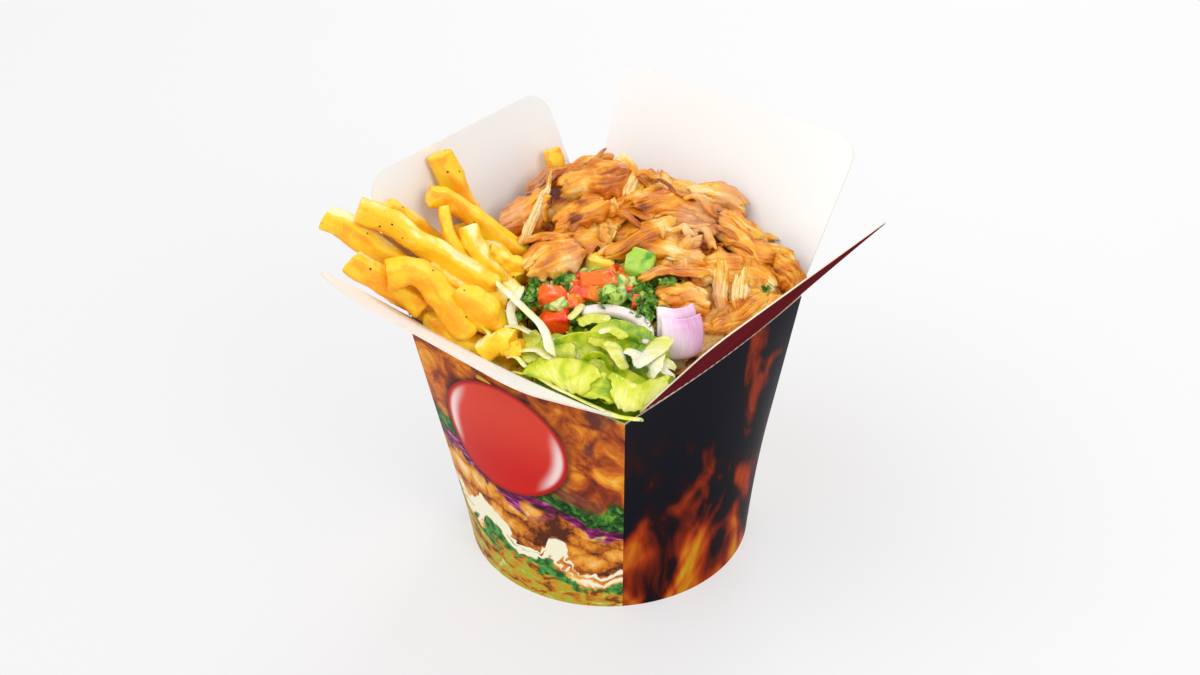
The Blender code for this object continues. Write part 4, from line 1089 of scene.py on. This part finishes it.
for name, sheets, thick, tones in (
    ("meat_slices", slices, slices_thick, slices_tone),
    ("meat_scraps", scraps, draw.uniform(1.1, 1.9, MEAT_SCRAPS), scraps_tone),
    ("meat_strands", strands, draw.uniform(0.9, 1.5, MEAT_STRANDS), draw.uniform(-0.18, 0.18, MEAT_STRANDS)),
    ("meat_at_rim", at_rim, draw.uniform(1.1, 1.9, MEAT_AT_RIM), draw.uniform(-0.20, 0.10, MEAT_AT_RIM)),
):
    meat = grid_mesh(
        name, keep_inside(sheet_ring(sheets, thick)), [meat_finish], ring=True,
        uv=sheet_flat(*sheets.shape[:3]), tint=tones[:, None, None],
    )
    belongs(meat, "shaved_meat")
belongs(meat_bed, "shaved_meat")

# Lettuce: broad torn leaves, thin, folded and cupped, with pale ribs and shreds among them. They lie
# on a bed of cut leaf in the front corner, and one long shred lies along the rim and hangs over it.
LEAVES = [  # two edges in mm, how far the middle bulges, tone from white to deep green
    ([(8.1, -39.3, 104), (13.4, -31.9, 106), (22.4, -24.3, 107), (34.8, -18.2, 107)],
     [(11.9, -40.3, 100), (19.2, -36.4, 98.5), (24.4, -32.1, 98.5), (32.8, -26.5, 98)], -2.0, 0.72),
    ([(5.5, -53.8, 98.5), (13.5, -43.5, 103), (34.7, -40.6, 105)],
     [(12.9, -52.1, 98), (25.6, -50.9, 98.3), (34.1, -50.7, 98.5)], 1.6, 0.58),
    ([(34.6, -40.5, 104), (40.4, -41.9, 100.5), (44.2, -45.6, 97.5)],
     [(31, -44.5, 101), (30, -48.3, 99.4), (33, -50.3, 98.6)], 1.2, 0.58),
    ([(34.9, -40.4, 104.5), (44.4, -39, 103.5), (48.3, -35.1, 103.5), (52.2, -25.7, 104)],
     [(43.4, -46.7, 98.5), (47.8, -47.8, 98), (51.1, -44.7, 98), (51.6, -38.9, 98.5)], 1.6, 0.50),
    ([(14.8, -28.4, 106), (19.2, -20.5, 107.5), (28.3, -15.6, 107.5), (36.3, -17.4, 106)],
     [(20, -32, 104), (28.5, -29.1, 103), (34.4, -25.8, 103), (37.1, -22.2, 104)], -1.0, 0.66),
    ([(20, -37, 101), (28, -34, 102), (38, -33, 102), (48, -34, 102)],
     [(24, -45, 98.5), (32, -44, 98.5), (42, -42, 98.5), (49, -40, 98)], 1.0, 0.46),
    ([(2, -40, 101), (4, -35, 103), (10, -30, 103)],
     [(8, -46, 98.5), (13, -41, 99), (18, -36, 99)], 1.5, 0.62),
    ([(30, -14.5, 104), (38, -16, 105), (44, -19, 104)],
     [(34, -22, 101), (41, -23, 101), (46, -26, 100)], 1.0, 0.44),
    ([(-6, -38, 102), (-1, -43, 101.5), (4, -49.5, 99)],
     [(3, -33, 100), (8, -38, 99.5), (12, -44, 98.5)], 1.2, 0.50),
]
LEAF_STRIPS = [  # middle line in mm, width, roll in degrees, curl across in radians, tone
    ([(4.4, -53.2, 98), (13.7, -51.4, 98.5), (26.4, -51.9, 98.5), (36.5, -51.5, 98),
      (47.2, -50.2, 97.5)], 3.4, 30, 0.8, 0.40),
    ([(42, -50.5, 97.5), (49, -49.6, 98), (55.0, -47.6, 98.5)], 6.5, 35, 1.2, 0.34),
    ([(22.5, -39.6, 101), (25.5, -39, 105.5), (29.9, -37, 106.5), (32.9, -36.5, 101)], 3.2, 70, 0.6, 0.52),
    ([(27.4, -30.2, 107.5), (34.1, -34.3, 107.5), (38.6, -35.1, 104)], 6.4, 22, 0.4, 0.16),
    ([(40.3, -16.4, 108), (42.3, -26.0, 108), (39.5, -32.9, 105)], 8.4, -14, 0.4, 0.12),
    ([(43.2, -25.0, 107), (46.0, -30.3, 106), (46.0, -32.7, 102)], 7.0, -24, 0.5, 0.2),
    ([(47.4, -23.1, 105), (49.1, -27.1, 104.5), (50.7, -25.8, 102)], 6.0, 20, 1.0, 0.10),
    ([(19.9, -27.5, 107.5), (24.0, -25.0, 108.5), (29.9, -24.9, 107.5)], 5.4, 10, 0.5, 0.30),
    ([(33.7, -29.5, 107), (38.2, -29.1, 106.5), (41.6, -31.1, 104)], 5.4, 8, 0.5, 0.26),
    ([(32.9, -10.8, 106), (34.8, -9.9, 108), (37.5, -10.7, 107)], 4.6, 0, 1.0, 0.04),
    ([(-21.4, -32.2, 113), (-8.6, -35.2, 111), (5, -38.2, 108), (14.3, -44.3, 104)], 4.6, 25, 0.9, 0.06),
    ([(-8.9, -42.3, 105), (-4, -41, 106), (0.6, -39.9, 105)], 4.6, 20, 0.6, 0.02),
    ([(0.9, -46.7, 102), (7.4, -44.2, 103.5), (14.5, -44.6, 103)], 5.0, 20, 0.9, 0.20),
    ([(-0.7, -50.5, 100), (3, -50, 101.5), (8.1, -51, 100)], 2.6, 20, 0.6, 0.14),
    ([(-15.6, -47.2, 105), (-10.1, -48.5, 104), (-6.7, -51.8, 100)], 3.4, 40, 1.0, 0.50),
    ([(-14, -28, 112), (-12, -36, 108), (-6, -41, 105)], 3.4, 10, 0.8, 0.10),
    ([(7.0, -23.5, 103.5), (9.8, -18.5, 104.2), (15.0, -15.2, 103.8)], 6.0, 0, 0.6, 0.26),
    ([(3.5, -24.5, 104), (3.6, -19.5, 105.2), (1.5, -15.5, 105)], 3.6, 10, 0.8, 0.12),
]
LEAF_GRID = (52, 24)
LEAF_FILLERS = 12

leaf_green, tree, shader = finish(
    "lettuce_leaf", (0.5, 0.62, 0.13), 0.26,
    Subsurface_Weight=0.35, Subsurface_Scale=0.003, Subsurface_Radius=(0.8, 1.0, 0.2),
)
place = solid_place(tree)
tone = piece_tone(tree)
patches = between(tree, clouds(tree, place, 75, 2, 0.5, 0.8), 0.32, 0.68)
streaks = between(tree, clouds(tree, flat_place(tree, 9, 1.1), 1.0, 3, 0.5, 0.5), 0.3, 0.7)
green = plus(tree, tone, times(tree, minus(tree, patches, 0.5), 0.42))
green = plus(tree, green, times(tree, minus(tree, streaks, 0.5), 0.14))
leaf = ramp(tree, green, [
    (0.0, (0.93, 0.92, 0.66)), (0.20, (0.88, 0.88, 0.36)), (0.42, (0.72, 0.76, 0.07)),
    (0.60, (0.52, 0.62, 0.012)), (0.80, (0.24, 0.42, 0.006)), (1.0, (0.08, 0.20, 0.004)),
])
colour_with(tree, shader, leaf)
cells = {"Vector": flat_place(tree, 7, 2.4), "Scale": 1.0}
from_edge = add(tree, "TexVoronoi", cells, feature="DISTANCE_TO_EDGE").outputs["Distance"]
veins = between(tree, from_edge, 0.0, 0.10, 0.5, 0.0)
grain = plus(tree, veins, plus(tree, streaks, clouds(tree, place, 380, 2)))
tree.links.new(raised_by(tree, grain, 0.4, 0.0006), shader.inputs["Normal"])


def lettuce_bed_top(x, y):
    """Height of the bed under the leaves, which falls to the rim near the walls."""
    rise = soft_step(np.minimum(inside_rim(x, y), (x + y - FRIES_SUM) * 0.6) / (20 * MM))
    return (90 + 8 * rise) * MM


lettuce_at = np.array([18.0, -34.0]) * MM
lettuce_sides = [beside_fries, (np.array([0.0, 1.0]), LETTUCE_Y - BED_GAP)]
# The bed's deep green tone is painted shade in the gaps between the leaves.
lettuce_bed = grid_mesh(
    "lettuce_bed", bed_points(lettuce_at, lettuce_sides, lettuce_bed_top, 1.8 * MM, 9), [leaf_green],
    ring=True, tint=0.75,
)
leaves = [between_edges(a, b, bulge, *LEAF_GRID) for a, b, bulge, _ in LEAVES]
shreds = [strip(path, wide, roll, bend, *LEAF_GRID) for path, wide, roll, bend, _ in LEAF_STRIPS]
draw = np.random.default_rng(43)
x = draw.uniform(0, 46, LEAF_FILLERS) * MM
y = draw.uniform(-46, -26, LEAF_FILLERS) * MM
x = np.maximum(x, FRIES_SUM + 8 * MM - y)
s = np.linspace(-0.5, 0.5, LEAF_GRID[0])[None, :, None]
t = np.linspace(-0.5, 0.5, LEAF_GRID[1])[None, None, :]
length, width, cup, fold = (
    draw.uniform(*limits, LEAF_FILLERS)[:, None, None]
    for limits in ((12 * MM, 22 * MM), (7 * MM, 13 * MM), (-4 * MM, 4 * MM), (-3 * MM, 3 * MM))
)
fillers = np.stack([
    length * s + 0 * t, width * t + 0 * s, cup * (1 - 4 * t * t) + fold * np.sin(7 * s + 3 * t) + 0 * s * t,
], axis=-1)
heading, lean, roll = (draw.uniform(*limits, LEAF_FILLERS) for limits in ((0, 180), (-30, 30), (-35, 35)))
z = lettuce_bed_top(x, y) + draw.uniform(-1.0, 1.5, LEAF_FILLERS) * MM
fillers = turn_and_place(fillers, heading, lean, roll, np.stack([x, y, z], axis=-1))
torn = np.concatenate([
    tear(np.stack(leaves), 0.09, 0.42, 71), tear(np.stack(shreds), 0.06, 0.16, 77),
    keep_inside(tear(fillers, 0.16, 0.7, 83)),
])
thick = [0.6] * len(LEAVES) + [0.5] * len(LEAF_STRIPS) + [0.6] * LEAF_FILLERS
tones = [piece[-1] for piece in LEAVES + LEAF_STRIPS] + list(draw.uniform(0.15, 0.75, LEAF_FILLERS))
lettuce = grid_mesh(
    "lettuce_leaves", sheet_ring(torn, thick), [leaf_green], ring=True,
    uv=sheet_flat(len(tones), *LEAF_GRID), tint=np.array(tones)[:, None, None],
)
for piece in (lettuce_bed, lettuce):
    belongs(piece, "lettuce")

# Diced vegetables: small wet cubes of cucumber, pepper and tomato with chopped green herb among them,
# heaped on a flat oval bed in the middle.
DICE_CENTRE = np.array([1.0, -4.0, 100.0]) * MM
DICE_RADII = np.array([25.0, 15.0, 4.5]) * MM
DICE_TURN = math.radians(40)
DICE_CLEAR_OF = np.array([18.8, -25.0]) * MM
DICE_CLEARANCE = 20.5 * MM
DICE_KINDS = {  # how many, smallest and largest side in mm, flesh, skin
    "pale_dice": (42, (3.6, 6.0), (0.62, 0.74, 0.26), (0.16, 0.36, 0.03)),
    "red_dice": (28, (3.8, 6.6), (0.92, 0.085, 0.006), (0.66, 0.018, 0.004)),
    "amber_dice": (8, (3.4, 5.6), (0.80, 0.40, 0.05), (0.60, 0.24, 0.02)),
    "orange_dice": (14, (4.0, 6.6), (0.96, 0.24, 0.012), (0.84, 0.09, 0.008)),
    "green_dice": (32, (3.8, 6.2), (0.50, 0.68, 0.12), (0.07, 0.24, 0.015)),
}
DIE_ROWS = 18
DIE_AROUND = 24
DIE_SQUARE = 0.32


def cube_points(size, seed, square=DIE_SQUARE, uneven=1.0):
    """Cubes with soft edges: on a globe of latitude and longitude, every sine and cosine is raised to a
    small power, which swells the globe into a box; uneven waves then push the faces in and out.
    """
    latitude = np.linspace(-np.pi / 2, np.pi / 2, DIE_ROWS)[None, :, None]
    longitude = np.linspace(0, 2 * np.pi, DIE_AROUND, endpoint=False)[None, None, :]
    waves = (np.cos(latitude), np.sin(latitude), np.cos(longitude), np.sin(longitude))
    waves = (np.where(np.abs(wave) < 1e-9, 0, wave) for wave in waves)
    out, upward, x, y = (np.sign(wave) * np.abs(wave) ** square for wave in waves)
    box = np.stack([out * x, out * y, upward + 0 * longitude], axis=-1)
    points = box * np.asarray(size)[:, None, None] / 2
    shifted = points + np.arange(len(points))[:, None, None, None] * 0.029
    rough = 0.35 * wobble(shifted, 6 * MM, seed) + 0.12 * wobble(shifted, 1.8 * MM, seed + 1)
    return points + box * (rough * uneven * MM)[..., None]


cut_flesh, given, put_out = effect(
    "cut_flesh", {"Flesh": "Color", "Skin": "Color", "Threads": "Color", "Scale": "Float"},
    {"Color": "Color", "Roughness": "Float", "Normal": "Vector"},
)
place = solid_place(cut_flesh)
patches = clouds(cut_flesh, place, given["Scale"], 2, 0.5, 0.4)
threads = clouds(cut_flesh, place, times(cut_flesh, given["Scale"], 4), 4, 0.6)
colour = over(cut_flesh, between(cut_flesh, patches, 0.50, 0.60), given["Flesh"], given["Skin"])
colour = over(cut_flesh, between(cut_flesh, threads, 0.58, 0.75, 0.0, 0.45), colour, given["Threads"])
for socket, value in (
    ("Color", colour), ("Roughness", between(cut_flesh, threads, 0.3, 0.7, 0.12, 0.35)),
    ("Normal", raised_by(cut_flesh, threads, 0.35, 0.0004)),
):
    cut_flesh.links.new(value, put_out[socket])


def wet_flesh(name, flesh, skin, scale=160):
    """Cut vegetable: watery flesh with paler threads, and skin colour in broad patches."""
    material, tree, shader = finish(
        name, flesh, 0.2, Subsurface_Weight=0.3, Subsurface_Scale=0.002, Subsurface_Radius=(1.0, 0.6, 0.3),
    )
    lighter = (min(1.0, 0.55 * part + 0.42) for part in flesh)
    cut = add(tree, "Group", {
        "Flesh": (*flesh, 1), "Skin": (*skin, 1), "Threads": (*lighter, 1), "Scale": scale,
    }, node_tree=cut_flesh).outputs
    colour_with(tree, shader, cut["Color"], cut["Roughness"])
    tree.links.new(cut["Normal"], shader.inputs["Normal"])
    return material


def turned_plan(x, y, angle):
    """Plan places turned about the upright axis."""
    return x * math.cos(angle) - y * math.sin(angle), x * math.sin(angle) + y * math.cos(angle)


def on_lens(share, angle, lift):
    """Places on the dice's oval bed: a share of the way out at an angle, and raised off its dome."""
    x, y = DICE_RADII[0] * share * np.cos(angle), DICE_RADII[1] * share * np.sin(angle)
    x, y = turned_plan(x, y, DICE_TURN)
    z = DICE_RADII[2] * np.sqrt(1 - np.minimum(share, 1) ** 2) + lift
    return DICE_CENTRE + np.stack([x, y, z], axis=-1)


herb_green, tree, shader = finish("chopped_herb", (0.05, 0.17, 0.015), 0.35)
place = solid_place(tree)
colour_with(tree, shader, ramp(tree, clouds(tree, place, 380, 3), [
    (0.30, (0.012, 0.060, 0.004)), (0.48, (0.070, 0.24, 0.012)), (0.68, (0.30, 0.52, 0.06)),
]))
latitude = np.linspace(-np.pi / 2, np.pi / 2, 24)[:, None]
longitude = np.linspace(0, 2 * np.pi, 80, endpoint=False)[None, :]
bed = DICE_RADII * np.stack([
    np.cos(latitude) * np.cos(longitude), np.cos(latitude) * np.sin(longitude),
    np.sin(latitude) + 0 * longitude,
], axis=-1)
bed = bed + unit(bed) * (0.9 * MM * wobble(bed, 5 * MM, 12))[..., None]
turned_bed = np.stack([*turned_plan(bed[..., 0], bed[..., 1], DICE_TURN), bed[..., 2]], axis=-1)
dice_bed = grid_mesh("dice_bed", turned_bed + DICE_CENTRE, [herb_green], ring=True)
toppings = [dice_bed]
draw = np.random.default_rng(23)
for number, (name, (count, sides, flesh, skin)) in enumerate(DICE_KINDS.items()):
    size = draw.uniform(*sides, (count, 3)) * MM
    ranges = ((0.02, 0.95), (0, 2 * np.pi), (0.5, 3.0))
    share, angle, lift = (draw.uniform(*limits, count) for limits in ranges)
    at = on_lens(np.sqrt(share), angle, lift * MM)
    clear = np.linalg.norm(at[:, :2] - DICE_CLEAR_OF, axis=1) > DICE_CLEARANCE
    spin = draw.uniform(-60, 60, (3, count))
    dice = turn_and_place(cube_points(size, 40 + number), spin[0], spin[1], spin[2], at)[clear]
    toppings.append(grid_mesh(name, dice, [wet_flesh(name + "_flesh", flesh, skin)], ring=True))

# Chopped herb: little lobed leaf tips, curled, in clumps among the dice and over the salad.
HERB_CLUMPS = [  # place in mm, reach, how many
    ((-12.9, -26.5, 106.0), 5.5, 34), ((-15.5, -20.0, 106.5), 4.5, 22), ((-8.6, -13.5, 108.0), 4.5, 24),
    ((-11.0, -32.0, 104.0), 3.5, 14), ((21.1, -2.2, 107.0), 5.0, 30), ((23.5, 7.2, 109.0), 3.5, 18),
    ((24.0, -6.8, 104.5), 4.5, 26), ((5.6, -9.0, 107.0), 4.5, 12), ((14.5, 2.0, 108.5), 4.0, 16),
    ((29.0, -10.0, 103.5), 3.0, 12), ((46.0, 33.0, 105.0), 2.2, 6), ((3.0, -1.0, 108.0), 7.0, 12),
]
LEAFLET_AROUND = 20


def leaflet_points(size, seed):
    """Lobed leaf tips: a thin lens whose outline swells and narrows with the angle, cupped by a
    parabola of its radius and crumpled by waves.
    """
    draw = np.random.default_rng(seed)
    share = np.array([0.0, 0.55, 0.9, 1.0, 0.9, 0.55, 0.0])[None, :, None]
    face = np.array([0.12, 0.12, 0.10, 0.0, -0.10, -0.12, -0.12])[None, :, None]
    angle = np.linspace(0, 2 * np.pi, LEAFLET_AROUND, endpoint=False)[None, None, :]
    size = np.asarray(size)[:, None, None]
    phase = draw.uniform(0, 6, size.shape)
    outline = size * (0.62 + 0.38 * np.abs(np.cos(2.5 * angle + phase))) * share
    lengthen = draw.uniform(1.0, 1.9, size.shape)
    cup = draw.uniform(-0.5, 0.9, size.shape)
    return np.stack([
        outline * np.cos(angle) * lengthen, outline * np.sin(angle),
        face * MM + cup * outline**2 / size + 0.25 * size * share * np.sin(3 * angle + phase),
    ], axis=-1)


count = sum(clump[2] for clump in HERB_CLUMPS)
draw = np.random.default_rng(29)
at = np.concatenate([
    np.array(place_mm) * MM + draw.normal(0, 0.5, (number, 3)) * np.array([1, 1, 0.35]) * reach * MM
    for place_mm, reach, number in HERB_CLUMPS
])
spin = draw.uniform(-70, 70, (3, count))
tips = leaflet_points(draw.uniform(0.9, 2.1, count) * MM, 30)
tips = turn_and_place(tips, spin[0] * 2.5, spin[1], spin[2], at)
toppings.append(grid_mesh("herb_tips", tips, [herb_green], ring=True))
for piece in toppings:
    belongs(piece, "diced_vegetables")

# Cut pieces that lie on their own: three chunks of tomato, a green and a yellow piece of pepper, two
# curved layers of red onion on the right, and half a ring of onion over the lettuce.
CHUNKS = {  # centre and size in mm, turn about X, Y and Z in degrees, slot, flesh, skin
    "tomato_chunk_upper": ((-7, -20, 105.5), (9.5, 7, 9), (6, 4, 40), "tomato", (0.95, 0.125, 0.006),
        (0.80, 0.032, 0.004)),
    "tomato_chunk_lower": ((-1.5, -26, 100.5), (10.5, 7, 8), (-4, -6, 40),
        "tomato", (0.95, 0.095, 0.004), (0.82, 0.028, 0.004)),
    "tomato_chunk_back": ((1, -5, 107.5), (13, 7, 7), (8, 0, 40), "tomato", (0.94, 0.17, 0.010),
        (0.76, 0.045, 0.006)),
    "green_pepper_cube": ((8, 9.5, 110), (10, 10, 10), (20, 12, 20), "pepper", (0.38, 0.60, 0.06),
        (0.10, 0.34, 0.012)),
    "yellow_pepper_chip": ((-6, 4, 108), (10, 5, 7), (0, 10, 35), "pepper", (0.98, 0.70, 0.09),
        (0.94, 0.52, 0.02)),
}
for number, (name, (at, size, spin, slot, flesh, skin)) in enumerate(CHUNKS.items()):
    cut_piece = cube_points(np.array([size]) * MM, 60 + number, 0.34, 1.9)
    cut_piece = turn_and_place(cut_piece, [spin[2]], [spin[1]], [spin[0]], np.array([at]) * MM)
    chunk = grid_mesh(name + "_flesh", cut_piece, [wet_flesh(name + "_look", flesh, skin, 90)], ring=True)
    belongs(chunk, name)

ONION_LAYERS = {  # centre and size in mm, turn about X, Y and Z in degrees, tone
    "onion_layer_upper": ((37.6, -6.2, 104.2), (14, 3.2, 15), (-12, 8, 62), 0.08),
    "onion_layer_lower": ((41.9, -8.6, 102.9), (15, 3.2, 15), (-12, 8, 62), 0.20),
}
ONION_GRID = (26, 26)
ONION_BOW = 2.5 * MM
ONION_ARC_AT = (18.8, -25, 102.5)
ONION_ARC_RADIUS = 16
ONION_ARC_SWEEP = (18, 156)
ONION_ARC_WIDE, ONION_ARC_TALL = 4.5, 3.5
ONION_ARC_LEAN = math.radians(4)
ONION_SQUARE = 3.2

onion_flesh, tree, shader = finish(
    "red_onion", (0.80, 0.55, 0.76), 0.18,
    Subsurface_Weight=0.35, Subsurface_Scale=0.003, Subsurface_Radius=(1.0, 0.7, 0.9),
)
threads = clouds(tree, flat_place(tree, 22, 1.5), 1.0, 4, 0.6, 0.3)
tone = piece_tone(tree)
purple = ramp(tree, plus(tree, tone, times(tree, threads, 0.35)), [
    (0.02, (0.78, 0.62, 0.56)), (0.18, (0.92, 0.84, 0.82)), (0.42, (0.92, 0.75, 0.86)),
    (0.66, (0.80, 0.46, 0.70)), (1.0, (0.26, 0.05, 0.14)),
])
colour_with(tree, shader, purple)
tree.links.new(raised_by(tree, threads, 0.3, 0.0004), shader.inputs["Normal"])

s = np.linspace(-0.5, 0.5, ONION_GRID[0])[:, None]
t = np.linspace(-0.5, 0.5, ONION_GRID[1])[None, :]
for name, (at, size, spin, tone) in ONION_LAYERS.items():
    bow = ONION_BOW * (4 * s * s + 0.6 * 4 * t * t)
    plate = np.stack([size[0] * MM * s + 0 * t, bow, size[2] * MM * t + 0 * s], axis=-1)[None]
    plate = plate + 0.25 * MM * wobble(plate, 9 * MM, 4)[..., None]
    ring = sheet_ring(plate, [size[1]])
    ring = turn_and_place(ring, [spin[2]], [spin[1]], [spin[0]], np.array([at]) * MM)
    fade = tone + 0.34 * soft_step(0.5 + s + 0.6 * t)
    shade = np.concatenate([fade, fade[:, ::-1] + 0.1], axis=1)
    layer = grid_mesh(
        name + "_flesh", ring, [onion_flesh], ring=True, uv=sheet_flat(1, *ONION_GRID), tint=shade[None],
    )
    belongs(layer, name)

share = np.linspace(0, 1, 70)[:, None]
around = np.linspace(0, 2 * np.pi, 28, endpoint=False)[None, :]
sweep = np.radians(ONION_ARC_SWEEP[0] + (ONION_ARC_SWEEP[1] - ONION_ARC_SWEEP[0]) * share)
drawn = np.sqrt(np.clip(1 - np.abs(2 * share - 1) ** 30, 0, 1))
section = np.abs(np.cos(around)) ** ONION_SQUARE + np.abs(np.sin(around)) ** ONION_SQUARE
section = section ** (-1 / ONION_SQUARE)
out = ONION_ARC_RADIUS + 0.5 * ONION_ARC_WIDE * section * np.cos(around) * drawn
rise = 0.5 * ONION_ARC_TALL * section * np.sin(around) * drawn + 0.25 * np.sin(9 * share)
arc_y = out * np.sin(sweep)
arc = np.stack([
    out * np.cos(sweep) + ONION_ARC_AT[0],
    arc_y * math.cos(ONION_ARC_LEAN) - rise * math.sin(ONION_ARC_LEAN) + ONION_ARC_AT[1],
    arc_y * math.sin(ONION_ARC_LEAN) + rise * math.cos(ONION_ARC_LEAN) + ONION_ARC_AT[2],
], axis=-1) * MM
shade = -0.06 + 0.95 * np.clip((np.cos(around) - 0.80) / 0.15, 0, 1) + 0 * share
flat = np.stack(np.broadcast_arrays(share * 3, around / (2 * np.pi)), axis=-1)
onion_ring = grid_mesh("onion_arc_flesh", arc, [onion_flesh], ring=True, uv=flat, tint=shade[None])
belongs(onion_ring, "onion_arc")
